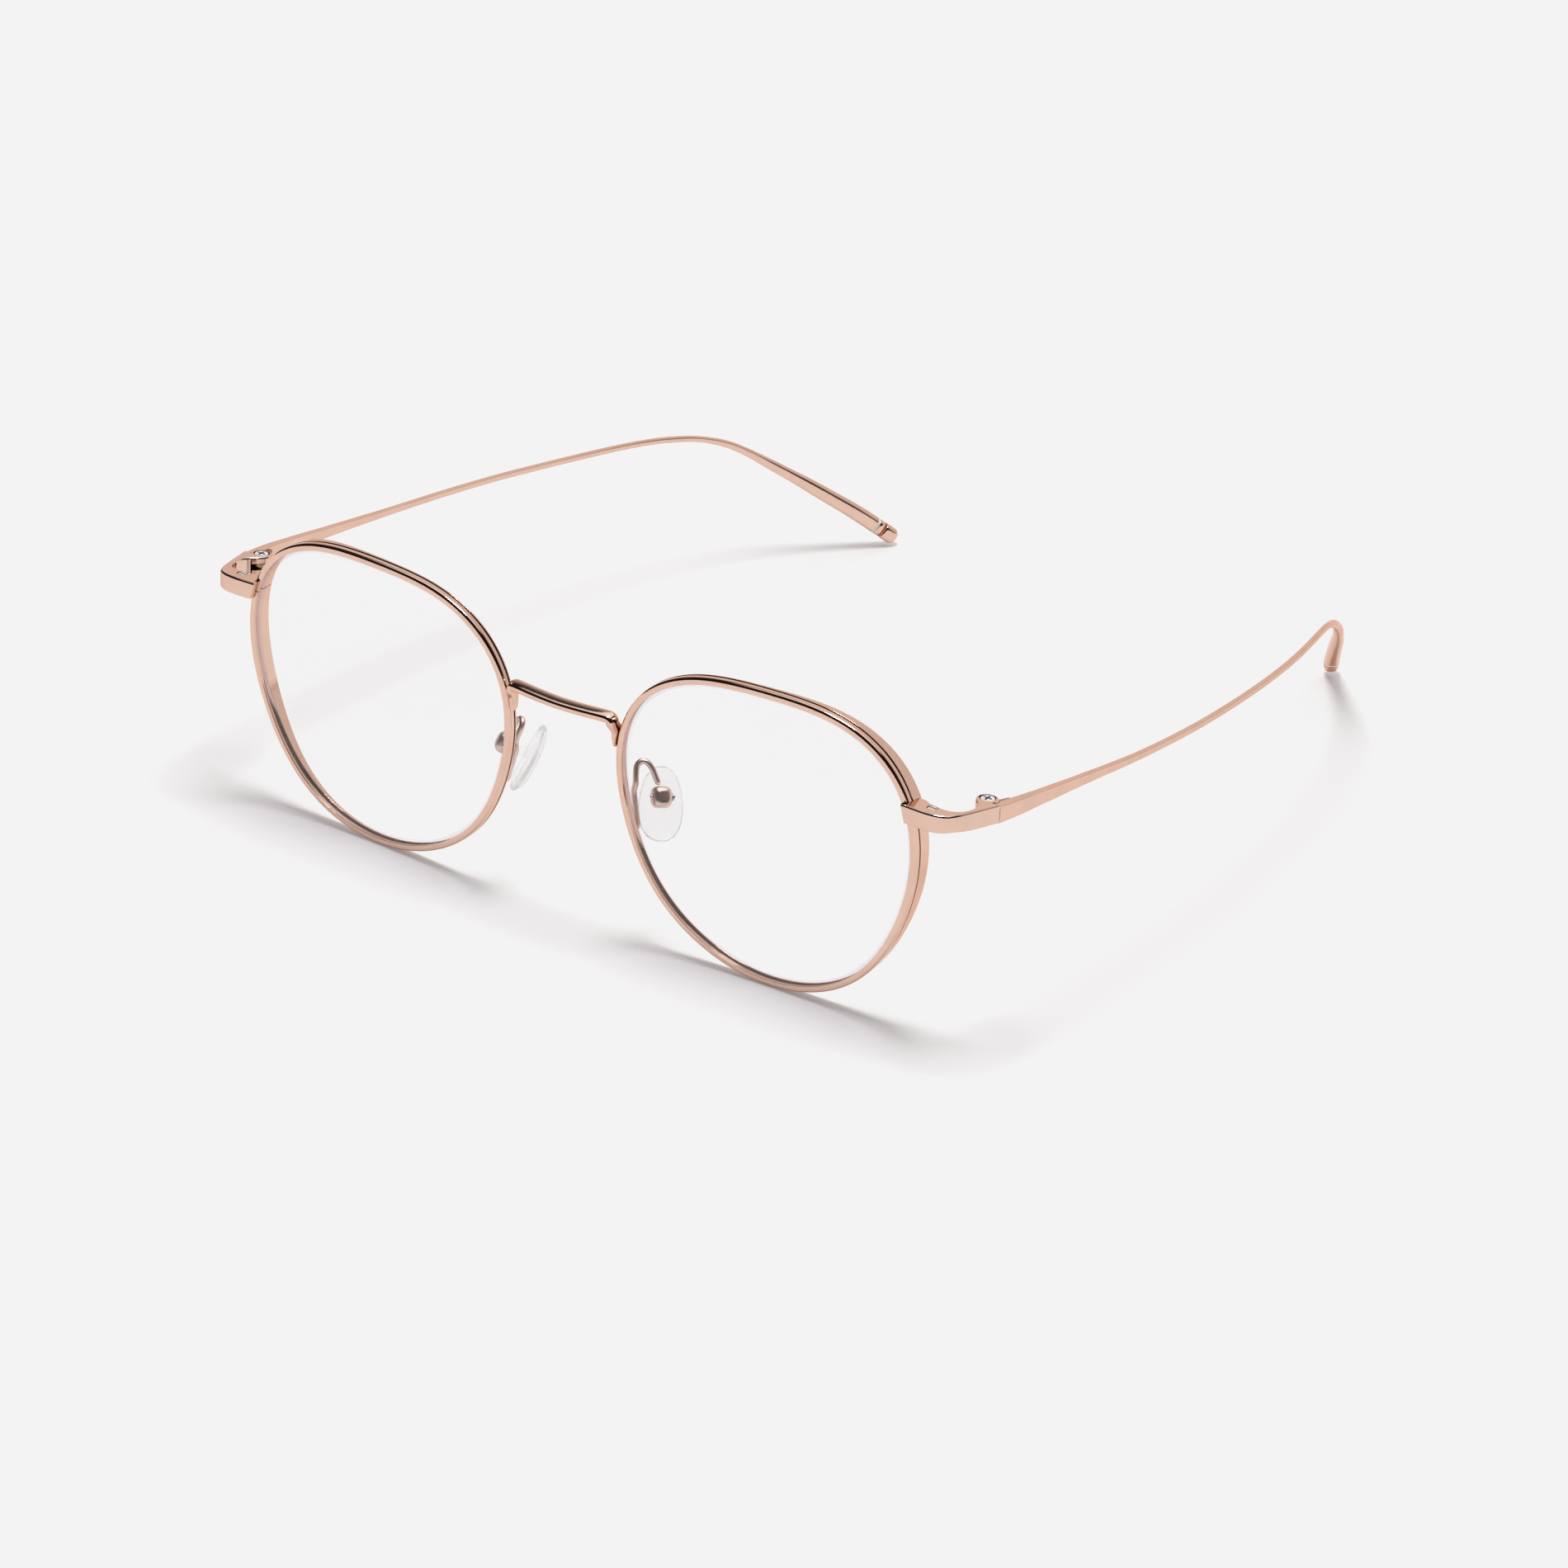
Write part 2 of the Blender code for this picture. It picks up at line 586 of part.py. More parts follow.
def make_bridge(mats):
    """Flat bar between the rims; each end turns down and tapers along the rim."""
    half = bridge_half()
    mirrored = [(Vector((-p.x, p.y, p.z)), thickness) for p, thickness in reversed(half)]
    stations = [*half, (Vector(BRIDGE_MIDDLE[:3]), BRIDGE_MIDDLE[3]), *mirrored]
    path = spline([point for point, _ in stations], BRIDGE_SAMPLES)
    thicknesses = [thickness for _, thickness in stations]
    last = BRIDGE_SAMPLES - 1
    rings = []
    for i, point in enumerate(path):
        direction = direction_at(path, i)
        back = Vector((0, 1, 0))
        back = (back - direction * back.dot(direction)).normalized()
        across = direction.cross(back)
        position = i * (len(thicknesses) - 1) / last
        k = min(int(position), len(thicknesses) - 2)
        thickness = thicknesses[k] + (thicknesses[k + 1] - thicknesses[k]) * (position - k)
        middleness = 1 - abs(2 * i / last - 1)
        depth = BRIDGE_DEPTH + BRIDGE_DEPTH_GAIN * smoothstep(middleness * BRIDGE_DEPTH_RAMP)
        rings.append(section_ring(point, back, across,
                                  rounded_section(depth, thickness, count=10, power=2.8)))
    return loft(rings, mats["rose"])


# ---- nose pad and its mounting --------------------------------------------------
# Pad frame: X across the pad, Y up the pad, Z away from the nose, origin in the pad box.
PAD_BOX = Vector((14.24, 7.72, 22.38))
PAD_UP = Vector((-0.27, 0.34, 0.90)).normalized()
PAD_FACE = Vector((-0.74, 0.52, -0.42)).normalized()     # towards the nose
PAD_OUT = -PAD_FACE
PAD_OUT = (PAD_OUT - PAD_UP * PAD_OUT.dot(PAD_UP)).normalized()
PAD_ACROSS = PAD_UP.cross(PAD_OUT).normalized()
PAD_FRAME = (Matrix.Translation(PAD_BOX)
             @ Matrix((PAD_ACROSS, PAD_UP, PAD_OUT)).transposed().to_4x4())

# Wire from its foot on the back of the rim up and over a loop: x, y, z.
ARM_POINTS = ((12.10, 5.36, 17.5), (11.55, 5.46, 19.5), (11.05, 5.62, 21.4),
              (10.72, 5.75, 22.9), (10.85, 5.90, 24.2), (10.62, 6.20, 25.4),
              (10.42, 6.65, 26.5), (10.72, 7.20, 27.15), (11.45, 7.65, 27.1),
              (12.25, 7.85, 26.3))
ARM_RADIUS = 0.45
ARM_SAMPLES = 32
ARM_END_UP, ARM_END_ACROSS = 1.76, -0.45     # end of the wire, from the box centre

BOX_WIDTH, BOX_LENGTH = 2.95, 3.2
BOX_STATIONS = ((-1.12, 0.80), (-0.86, 0.96), (-0.3, 1.0), (0.55, 0.97), (1.05, 0.80),
                (1.28, 0.50))                # z, scale of the section
BOX_HOLLOW_LOW, BOX_HOLLOW_HIGH = (-0.86, -1.12, -3), (0.86, 1.12, 0.84)
BOX_BORE = 0.41                              # radius

PAD_SCREW_HEAD, PAD_SCREW_SHANK = 0.62, 0.34     # radii
PAD_SCREW_TOP, PAD_SCREW_HEAD_LOW, PAD_SCREW_END = 1.98, 1.55, -1.85
PAD_SCREW_SHANK_TOP = 1.7                    # inside the head
PAD_SLOT_LOW, PAD_SLOT_HALF, PAD_SLOT_REACH = 1.80, 0.10, 0.5

PAD_LENGTH = 11.0
PAD_WIDTH = 6.8
PAD_THICK = 1.9
PAD_STAND = 4.75                             # box centre to pad centre
PAD_SHIFT = Vector((1.3, -0.95, 0.0))        # the pad sits off-centre on its lug
PAD_STEPS = 24
PAD_TAPER = 0.10                             # narrower at the top, wider at the bottom
PAD_BEND = 0.012                             # lengthwise curve, rise per squared millimetre
PAD_SIDE_POWER, PAD_END_POWER = 2.3, 2.15    # superellipse powers, across and up
PAD_TIP = -0.62                              # apex of the face, relative z
PAD_STATIONS = ((-0.60, 0.55), (-0.42, 0.86), (0.02, 1.0), (0.40, 0.93),
                (0.60, 0.70))                # relative z, scale of the outline
PAD_PROFILE_HEIGHT = 1.22                    # from the apex to the last station, relative z
LUG_HALF_WIDTH, LUG_HALF_LENGTH, LUG_END = 0.62, 0.72, 0.10
LUG_BORE = 0.40                              # radius


def drill_across(obj, radius):
    cut(obj, placed(cylinder(ORIGIN, radius, -4, 4, count=16), TURN_ACROSS))


def make_pad_arm(mats):
    """Wire: a foot on the back of the rim, a loop over, and down into the box."""
    points = [Vector(point) for point in ARM_POINTS]
    end = PAD_BOX + PAD_UP * ARM_END_UP + PAD_ACROSS * ARM_END_ACROSS
    points += [end.lerp(points[-1], 0.42), end]
    path = spline(points, ARM_SAMPLES)
    # the wire enters the box straight down the pad
    path[-2] = path[-1] + PAD_UP * 0.25
    return tube(path, ARM_RADIUS, 8, mats["rose"])


def make_pad_box(mats):
    """Small rounded box, open towards the pad, drilled across for the pad screw."""
    rings = []
    for z, scale in BOX_STATIONS:
        section = rounded_section(BOX_WIDTH * scale, BOX_LENGTH * scale, count=20, power=3.4)
        rings.append([Vector((x, y, z)) for x, y in section])
    obj = loft(rings, mats["rose"])
    cut(obj, block(BOX_HOLLOW_LOW, BOX_HOLLOW_HIGH))
    drill_across(obj, BOX_BORE)
    return placed(obj, PAD_FRAME)


def make_pad_screw(mats):
    """Single-slot screw, built upright and laid across the pad."""
    screw = cylinder(ORIGIN, PAD_SCREW_HEAD, PAD_SCREW_HEAD_LOW, PAD_SCREW_TOP, mats["steel"])
    join(screw, cylinder(ORIGIN, PAD_SCREW_SHANK, PAD_SCREW_END, PAD_SCREW_SHANK_TOP, count=16))
    cut(screw, block((-PAD_SLOT_REACH, -PAD_SLOT_HALF, PAD_SLOT_LOW),
                     (PAD_SLOT_REACH, PAD_SLOT_HALF, 3)))
    placed(screw, TURN_ACROSS)
    return placed(screw, PAD_FRAME)


def pad_ring(relative_z, scale):
    ring = []
    for i in range(PAD_STEPS):
        angle = 2 * math.pi * i / PAD_STEPS
        cosine, sine = math.cos(angle), math.sin(angle)
        half_width = 0.5 * PAD_WIDTH * (1 - PAD_TAPER * sine)
        x = half_width * signed_root(cosine, PAD_SIDE_POWER) * scale
        y = 0.5 * PAD_LENGTH * signed_root(sine, PAD_END_POWER) * scale
        z = relative_z * PAD_THICK / PAD_PROFILE_HEIGHT + PAD_BEND * y ** 2
        ring.append(Vector((x, y, z)))
    return ring


def make_nose_pad(mats):
    """Soft clear pad: a rounded, slightly D-shaped lozenge with a lug that goes into the box."""
    verts = [Vector((0, 0, PAD_TIP * PAD_THICK / PAD_PROFILE_HEIGHT))]
    for relative_z, scale in PAD_STATIONS:
        verts += pad_ring(relative_z, scale)
    faces = [(0, 1 + (j + 1) % PAD_STEPS, 1 + j) for j in range(PAD_STEPS)]
    faces += skin(len(PAD_STATIONS), PAD_STEPS, first=1)
    last = 1 + (len(PAD_STATIONS) - 1) * PAD_STEPS
    faces.append(tuple(last + j for j in range(PAD_STEPS)))
    obj = mesh_object(verts, faces, mats["pad"])
    placed(obj, Matrix.Translation(PAD_SHIFT + Vector((0, 0, -PAD_STAND))))
    join(obj, block((-LUG_HALF_WIDTH, -LUG_HALF_LENGTH, -PAD_STAND),
                    (LUG_HALF_WIDTH, LUG_HALF_LENGTH, LUG_END)))
    # round eye at the lug's end
    eye = cylinder(ORIGIN, LUG_HALF_LENGTH, -LUG_HALF_WIDTH, LUG_HALF_WIDTH, count=16)
    join(obj, placed(eye, TURN_ACROSS))
    drill_across(obj, LUG_BORE)
    return placed(obj, PAD_FRAME)


# ---- temple ---------------------------------------------------------------------
# Centre line: distance behind the hinge, x, z.
TEMPLE_LINE = (
    (-0.70, 67.33, 34.46), (4.0, 67.88, 34.08), (10.0, 68.20, 33.50), (20.0, 68.50, 32.46),
    (35.0, 68.80, 30.86), (50.0, 68.50, 29.54), (62.0, 67.66, 28.57), (72.0, 66.55, 27.71),
    (80.0, 65.43, 27.06), (87.0, 64.25, 26.54), (93.0, 63.00, 26.08), (98.0, 61.73, 25.60),
    (102.0, 60.58, 25.02), (105.5, 59.49, 24.34), (109.0, 58.34, 23.28), (112.5, 57.13, 21.82),
    (116.0, 55.72, 19.78), (120.0, 53.98, 17.02), (125.0, 51.30, 13.40), (130.0, 48.42, 9.58),
    (135.0, 45.50, 5.66), (141.3, 41.85, 0.25))
# The temples are bent a little differently: inward angle at the hinge, stretch of the line.
TEMPLE_SET = {"left": (math.radians(0.36), 1.012), "right": (math.radians(-0.36), 0.988)}
WIRE = 1.00                                  # height of the thin middle stretch
# Section sizes: arc length from the front end, size.
TEMPLE_HEIGHT = ((0, ENDPIECE_H - 0.1), (5, 2.50), (12, 2.1), (20, 1.62), (28, 1.30), (36, 1.08),
                 (44, WIRE), (108, WIRE), (117, 1.32), (126, 1.85), (136, 2.42), (146, 2.70),
                 (170, 2.72))
TEMPLE_WIDTH = ((0, 1.60), (4, 1.5), (10, 1.2), (20, 1.05), (40, 0.95), (108, 0.95), (117, 1.2),
                (126, 1.7), (136, 2.2), (146, 2.45), (170, 2.50))
LINE_SAMPLES = 400
TEMPLE_SECTIONS = 30
SECTION_COUNT = 12
BUTT_GAP = 0.10                              # between the endpiece and the temple's front face
# The tip's pieces, by length: inlay ring, collar, groove ring and cap, threaded on a spigot.
INLAY_RING = 0.50
COLLAR = 1.05
GROOVE_RING = 0.62
CAP_LENGTH = 3.0
RING_GAP = 0.04
SPIGOT_DIAMETER = 1.24
SPIGOT_HOLE = SPIGOT_DIAMETER + 0.12
SPIGOT_REACH, CAP_BORE = 1.4, 1.55           # into the cap: the spigot, its hole

LEAF_RADIUS = 1.55
LEAF_EYE_FIT = 0.05
TAIL_X = 67.46                               # outer side of the leaf's tail
TAIL_REACH = 3.84                            # how far it runs behind the hinge axis
SLOT_FIT, SLOT_PLAY = 0.06, 0.03             # of the temple's slot, in plan and in height
TEMPLE_CLEAR = 0.10                          # round the knuckles


class TempleLine:
    """Centre line of one temple, measured by arc length."""

    def __init__(self, side):
        yaw, stretch = TEMPLE_SET[side]
        turn = Matrix.Rotation(yaw, 3, "Z")
        points = []
        for behind, x, z in TEMPLE_LINE:
            offset = turn @ Vector((x - HINGE.x, behind * stretch, 0))
            points.append(Vector((HINGE.x + offset.x, HINGE.y + offset.y, z)))
        self.path = spline(points, LINE_SAMPLES)
        self.lengths = [0.0]
        for start, end in zip(self.path, self.path[1:]):
            self.lengths.append(self.lengths[-1] + (end - start).length)
        self.total = self.lengths[-1]

    def place(self, station, section):
        """Section set square to the line at an arc length."""
        path, lengths = self.path, self.lengths
        k = 1
        while k < len(lengths) - 1 and lengths[k] < station:
            k += 1
        fraction = (station - lengths[k - 1]) / (lengths[k] - lengths[k - 1])
        direction = (path[k] - path[k - 1]).normalized()
        side = direction.cross(Vector((0, 0, 1))).normalized()
        top = side.cross(direction).normalized()
        return section_ring(path[k - 1].lerp(path[k], fraction), side, top, section)

    def ring(self, station, scale=1.0):
        """Ring of the temple's own section, scaled."""
        width = curve_at(TEMPLE_WIDTH, station) * scale
        height = curve_at(TEMPLE_HEIGHT, station) * scale
        return self.place(station, rounded_section(width, height, SECTION_COUNT, 2.8))

    def round_ring(self, station, diameter):
        return self.place(station, rounded_section(diameter, diameter, SECTION_COUNT, 2.0))

    def sleeve(self, start, end, scale, material):
        """Short piece of the temple's section with a hole for the spigot."""
        return loft([self.ring(start, scale), self.ring(end, scale),
                     self.round_ring(end, SPIGOT_HOLE), self.round_ring(start, SPIGOT_HOLE)],
                    material, closed=True)


def make_temple_bar(line, bar_end, cap_start, material):
    """Flat strip that thins to a wire, bends down behind the ear and swells to the spigot."""
    rings = [line.ring(bar_end * (i / TEMPLE_SECTIONS)) for i in range(TEMPLE_SECTIONS + 1)]
    rings += [line.round_ring(bar_end, SPIGOT_DIAMETER),
              line.round_ring(cap_start + SPIGOT_REACH, SPIGOT_DIAMETER)]
    # the front face is parallel to the butt face
    for point in rings[0]:
        point.y = BUTT_Y + BUTT_GAP
    bar = loft(rings, material)
    # slot for the hinge leaf, and the round clearance for the knuckles
    half_slot = 0.5 * LEAF_H + SLOT_PLAY
    cut(bar, block((64.0, 12.0, LEAF_Z - half_slot),
                   (TAIL_X + SLOT_FIT, HINGE.y + TAIL_REACH + SLOT_FIT, LEAF_Z + half_slot)))
    cut(bar, cylinder(HINGE, KNUCKLE_RADIUS + TEMPLE_CLEAR, CUT_LOW, CUT_HIGH, count=28))
    return bar


def make_tip_cap(line, start, material):
    """Rounded end of the tip, from the floor of its bore out and round to its end."""
    rings = [line.round_ring(start + CAP_BORE, SPIGOT_HOLE), line.round_ring(start, SPIGOT_HOLE)]
    rings += [line.ring(station, scale) for station, scale in
              ((start, 1.0), (start + 0.55 * CAP_LENGTH, 1.02), (line.total - 0.45, 0.99),
               (line.total - 0.12, 0.88), (line.total, 0.70))]
    return loft(rings, material)


def make_hinge_leaf(mats):
    """Single leaf: an eye round the hinge screw with a tail let into the temple."""
    low, high = LEAF_Z - 0.5 * LEAF_H, LEAF_Z + 0.5 * LEAF_H
    obj = cylinder(HINGE, LEAF_RADIUS, low, high, mats["rose"], 24)
    tail = [(HINGE.x + 0.3, HINGE.y - 0.6), (TAIL_X, HINGE.y - 0.45),
            (TAIL_X, HINGE.y + TAIL_REACH), (66.6, HINGE.y + TAIL_REACH),
            (65.9, HINGE.y + 2.2), (HINGE.x - 0.4, HINGE.y + 1.3)]
    join(obj, prism(tail, low, high))
    cut(obj, cylinder(HINGE, SCREW_SHANK + LEAF_EYE_FIT, CUT_LOW, CUT_HIGH))
    return obj


def make_temple_parts(mats, side):
    """Everything that turns on one hinge, by name."""
    line = TempleLine(side)
    cap = line.total - CAP_LENGTH
    groove = cap - GROOVE_RING
    collar = groove - COLLAR
    inlay = collar - INLAY_RING
    return {
        "temple": make_temple_bar(line, inlay, cap, mats["rose"]),
        "inlay_ring": line.sleeve(inlay + RING_GAP, collar - RING_GAP, 1.02, mats["cream"]),
        "tip_collar": line.sleeve(collar, groove - RING_GAP, 1.0, mats["rose"]),
        "groove_ring": line.sleeve(groove, cap - RING_GAP, 0.93, mats["copper"]),
        "tip_cap": make_tip_cap(line, cap, mats["rose"]),
        "hinge_leaf": make_hinge_leaf(mats),
    }


# ---- assembly -------------------------------------------------------------------
# Fixed parts of each side: name, maker, sharp-edge angle in degrees.
SIDE_PARTS = (
    ("rim", make_rim, 40), ("lens", make_lens, 25), ("endpiece", make_endpiece, 30),
    ("closing_block", make_closing_block, 30), ("rim_lock_screw", make_lock_screw, 30),
    ("hinge_screw", make_hinge_screw, 30), ("pad_arm", make_pad_arm, 60),
    ("pad_box", make_pad_box, 40), ("pad_screw", make_pad_screw, 30))


def finish(obj, name, placement, sharp_degrees):
    """Moves a part to its place in the model, names it and shades it."""
    obj.data.transform(placement)
    recalculate_normals(obj.data)
    obj.name = name
    obj.data.name = name
    obj.data.shade_smooth()
    obj.data.set_sharp_from_angle(angle=math.radians(sharp_degrees))
    return obj


def add_pivot(name, location):
    pivot = bpy.data.objects.new(name, None)
    bpy.context.scene.collection.objects.link(pivot)
    pivot.location = location
    return pivot


def hang(obj, pivot):
    """Parents a part to a pivot, with its origin on the pivot."""
    obj.data.transform(Matrix.Translation(-pivot.location))
    obj.parent = pivot


def build_side(mats, side, placement):
    for name, make, sharp in SIDE_PARTS:
        finish(make(mats), f"{name}_{side}", placement, sharp)

    pad_pivot = add_pivot(f"pad_pivot_{side}", placement @ PAD_BOX)
    hang(finish(make_nose_pad(mats), f"nose_pad_{side}", placement, 40), pad_pivot)

    hinge_top = Vector((HINGE.x, HINGE.y, top_z(HINGE.y)))
    hinge_pivot = add_pivot(f"hinge_pivot_{side}", placement @ hinge_top)
    for name, obj in make_temple_parts(mats, side).items():
        sharp = 50 if name == "temple" else 30
        hang(finish(obj, f"{name}_{side}", placement, sharp), hinge_pivot)


def main():
    for obj in list(bpy.data.objects):
        bpy.data.objects.remove(obj, do_unlink=True)
    mats = make_materials()
    finish(make_bridge(mats), "bridge", STAND, 50)
    for side, placement in PLACEMENTS.items():
        build_side(mats, side, placement)
    bpy.context.view_layer.update()


main()
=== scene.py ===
"""Looks of a pair of metal-rimmed eyeglasses standing open on a table, with floor, light and camera.

Pieces are made in the frame's own axes, in millimetres: X runs to the wearer's left, Y backwards
from the lenses to the temple tips, Z up. stand() takes them to the model's metres. Every piece is
made for the left half (+X), and mirrored for the right.
"""

import math

import bmesh
import bpy
from mathutils import Matrix, Vector


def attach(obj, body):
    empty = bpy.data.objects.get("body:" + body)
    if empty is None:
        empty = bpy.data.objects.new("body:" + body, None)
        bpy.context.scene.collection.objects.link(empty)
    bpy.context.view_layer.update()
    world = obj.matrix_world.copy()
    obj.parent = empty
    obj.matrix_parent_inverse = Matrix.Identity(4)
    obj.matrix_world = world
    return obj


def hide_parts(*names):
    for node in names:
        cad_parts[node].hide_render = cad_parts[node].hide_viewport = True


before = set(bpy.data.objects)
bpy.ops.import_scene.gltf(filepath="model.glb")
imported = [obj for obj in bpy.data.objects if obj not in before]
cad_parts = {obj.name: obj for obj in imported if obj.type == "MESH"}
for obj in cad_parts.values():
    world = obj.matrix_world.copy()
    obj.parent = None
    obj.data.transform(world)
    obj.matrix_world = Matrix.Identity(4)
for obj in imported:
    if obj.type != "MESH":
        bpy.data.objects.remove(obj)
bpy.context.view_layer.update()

# ---- driving dimensions, millimetres ----------------------------------------
LENS_CENTRE = Vector((34.99, 3.72, 24.61))   # centre of the lens opening, front lip plane
WRAP = math.radians(2.23)                    # face-form: the temporal side goes back
TILT = math.radians(3.39)                    # the top of the front leans forward
LENS_R = 23.77                               # mean radius of the lens opening
# Harmonics of the opening: (order, cosine, sine); 3 flattens the top, 4 fills the corners.
CROWN = (
    (2, 0.79, -0.01), (3, -0.19, 1.13), (4, -0.50, 0.01), (5, 0.03, 0.03),
    (6, -0.03, -0.03), (7, 0.02, -0.01), (8, 0.01, -0.01),
)
RIM_DEPTH_MIN = 1.60                         # front to back, nasal side and bottom
RIM_DEPTH_MAX = 3.60                         # front to back, temporal side
DEPTH_CENTRE = math.radians(6.0)
DEPTH_SPREAD = math.radians(56.0)
RIM_WALL = 1.05                              # outer face, out from the opening
LIP = 0.40                                   # thickness of the front lip
GROOVE_END = 1.30                            # back wall of the lens groove
GROOVE_MID = 0.5 * (LIP + GROOVE_END)
STEP_AT = 1.22                               # fine groove on the outer face
STEP_DEPTH = 0.24
SPLIT_ANGLE = math.radians(24.0)             # where each rim is cut for glazing
SPLIT_GAP = 0.16
LENS_SAG = 0.80                              # bulge of the lens over its edge
LENS_PLAY = 0.07                             # between the lens and each groove wall

HINGE = Vector((65.50, 13.72, 0.0))          # hinge axis, runs along Z
LOCK_SCREW = Vector((62.00, 5.00, 0.0))      # rim-lock screw, runs along Z
TOP_Z = 36.62                                # top of the endpiece at y = 5
TOP_SLOPE = -0.0643                          # its top falls towards the back
HINGE_H = 2.90                               # height of the endpiece at the hinge
WAIST = 0.28                                 # it is this much lower in its corner
WAIST_Y = 4.7
WAIST_SPREAD = 1.9
BUTT_Y = 12.90                               # end face where the temple rests when open
KNUCKLE_R = 1.68
LEAF_R = 1.55
LEAF_H = 0.95
LEAF_GAP_R = 2.60                            # slot in the endpiece for the hinge leaf
SCREW_SHANK = 0.60
SCREW_HEAD = 1.08
LOCK_HEAD = 0.72
LOCK_SHANK = 0.45

TIP_HEIGHT = 2.72
TIP_WIDTH = 2.50
WIRE = 1.00                                  # height of the temple along its middle
CAP_LENGTH = 3.0
GROOVE_RING = 0.62                           # lengths of the rings ahead of the cap
COLLAR = 1.05
INLAY_RING = 0.50
RING_GAP = 0.03
SPIGOT = 2 * 0.62                            # diameter of the pin that carries them
SPIGOT_BORE = SPIGOT + 0.06

PAD_BOX = Vector((14.24, 7.72, 22.38))
PAD_LONG = Vector((-0.27, 0.34, 0.90)).normalized()      # up the pad
PAD_AWAY = Vector((0.74, -0.52, 0.42)).normalized()      # away from the nose
PAD_LENGTH = 11.0
PAD_WIDTH = 6.8
PAD_THICK = 1.9
PAD_STAND = 4.75                             # box centre to pad centre
PAD_SHIFT = Vector((1.3, -0.95, 0.0))        # the pad sits off-centre under its lug
ARM_R = 0.45
GAP = 0.06                                   # brazed joints keep this hairline

STANCE = math.radians(0.41)                  # forward lean, resting on rims and temple tips
STANCE_Y = 5.1                               # line of the rims' contact
ORIGIN_Y = 78.7                              # middle of the footprint
METRES_PER_MM = 0.001

Z_TO_X = Matrix.Rotation(math.radians(90), 4, "Y")


# ---- curves and outlines ----------------------------------------------------
def smoothstep(value):
    value = max(0.0, min(1.0, value))
    return value * value * (3 - 2 * value)


def spline(points, count):
    """Open Catmull-Rom curve through points, count samples at equal parameter steps."""
    spans = len(points) - 1
    row = [points[0] * 2 - points[1], *points, points[-1] * 2 - points[-2]]
    result = []
    for i in range(count):
        place = i * spans / (count - 1)
        k = min(int(place), spans - 1)
        f = place - k
        before, start, stop, after = row[k:k + 4]
        result.append(0.5 * (2 * start + (stop - before) * f
                             + (2 * before - 5 * start + 4 * stop - after) * f * f
                             + (3 * start - before - 3 * stop + after) * f ** 3))
    return result


def tangent(path, i):
    return (path[min(i + 1, len(path) - 1)] - path[max(i - 1, 0)]).normalized()


def curve_at(table, x):
    """Value from a table of (position, value), half linear and half eased between stations."""
    if x <= table[0][0]:
        return table[0][1]
    for (x0, value0), (x1, value1) in zip(table, table[1:]):
        if x <= x1:
            share = (x - x0) / (x1 - x0)
            return value0 + 0.5 * (value1 - value0) * (smoothstep(share) + share)
    return table[-1][1]


def circle(x, y, radius, count):
    return [(x + radius * math.cos(2 * math.pi * i / count),
             y + radius * math.sin(2 * math.pi * i / count)) for i in range(count)]


def superellipse(angle, half_width, half_height, power_x, power_y):
    cosine, sine = math.cos(angle), math.sin(angle)
    return (half_width * math.copysign(abs(cosine) ** (2 / power_x), cosine),
            half_height * math.copysign(abs(sine) ** (2 / power_y), sine))


def rounded_section(width, height, count, power):
    """Superellipse of count points, as (across, up)."""
    return [superellipse(2 * math.pi * (i + 0.5) / count, 0.5 * width, 0.5 * height, power, power)
            for i in range(count)]


def rounded_poly(corners):
    """Closed outline with rounded corners: (x, y, radius, segments) each."""
    points = []
    for i, (x, y, radius, segments) in enumerate(corners):
        corner = Vector((x, y))
        back = Vector(corners[i - 1][:2]) - corner
        ahead = Vector(corners[(i + 1) % len(corners)][:2]) - corner
        back_length, ahead_length = back.length, ahead.length
        back.normalize()
        ahead.normalize()
        half = 0.5 * math.acos(max(-1.0, min(1.0, back.dot(ahead))))
        trim = min(radius / max(math.tan(half), 1e-6), 0.47 * back_length, 0.47 * ahead_length)
        start, stop = corner + back * trim, corner + ahead * trim
        weight = math.sin(half)
        for k in range(segments + 1):
            t = k / segments
            w0, w1, w2 = (1 - t) ** 2, 2 * t * (1 - t) * weight, t * t
            point = (start * w0 + corner * w1 + stop * w2) / (w0 + w1 + w2)
            points.append((point.x, point.y))
    return points


def inset_outline(points, amount):
    """Closed counter-clockwise outline moved inwards; the mitre at sharp corners is limited."""
    moved = []
    for i, here in enumerate(points):
        last, following = points[i - 1], points[(i + 1) % len(points)]
        side_in = Vector((here[0] - last[0], here[1] - last[1])).normalized()
        side_out = Vector((following[0] - here[0], following[1] - here[1])).normalized()
        mitre = Vector((-side_in.y, side_in.x)) + Vector((-side_out.y, side_out.x))
        mitre = mitre / max(mitre.length_squared, 1e-9) * 2
        if mitre.length > 2.0:
            mitre = mitre.normalized() * 2.0
        moved.append((here[0] + mitre.x * amount, here[1] + mitre.y * amount))
    return moved


# ---- solids -----------------------------------------------------------------
def fix_normals(mesh):
    edit = bmesh.new()
    edit.from_mesh(mesh)
    bmesh.ops.recalc_face_normals(edit, faces=edit.faces)
    edit.to_mesh(mesh)
    edit.free()


def mesh_object(verts, faces, material=None):
    mesh = bpy.data.meshes.new("piece")
    mesh.from_pydata([tuple(v) for v in verts], [], faces)
    fix_normals(mesh)
    obj = bpy.data.objects.new("piece", mesh)
    bpy.context.scene.collection.objects.link(obj)
    if material:
        mesh.materials.append(material)
    return obj


def band(first, second, count):
    """Quads between two rings of count points, given the index where each ring starts."""
    return [(first + j, first + (j + 1) % count, second + (j + 1) % count, second + j)
            for j in range(count)]


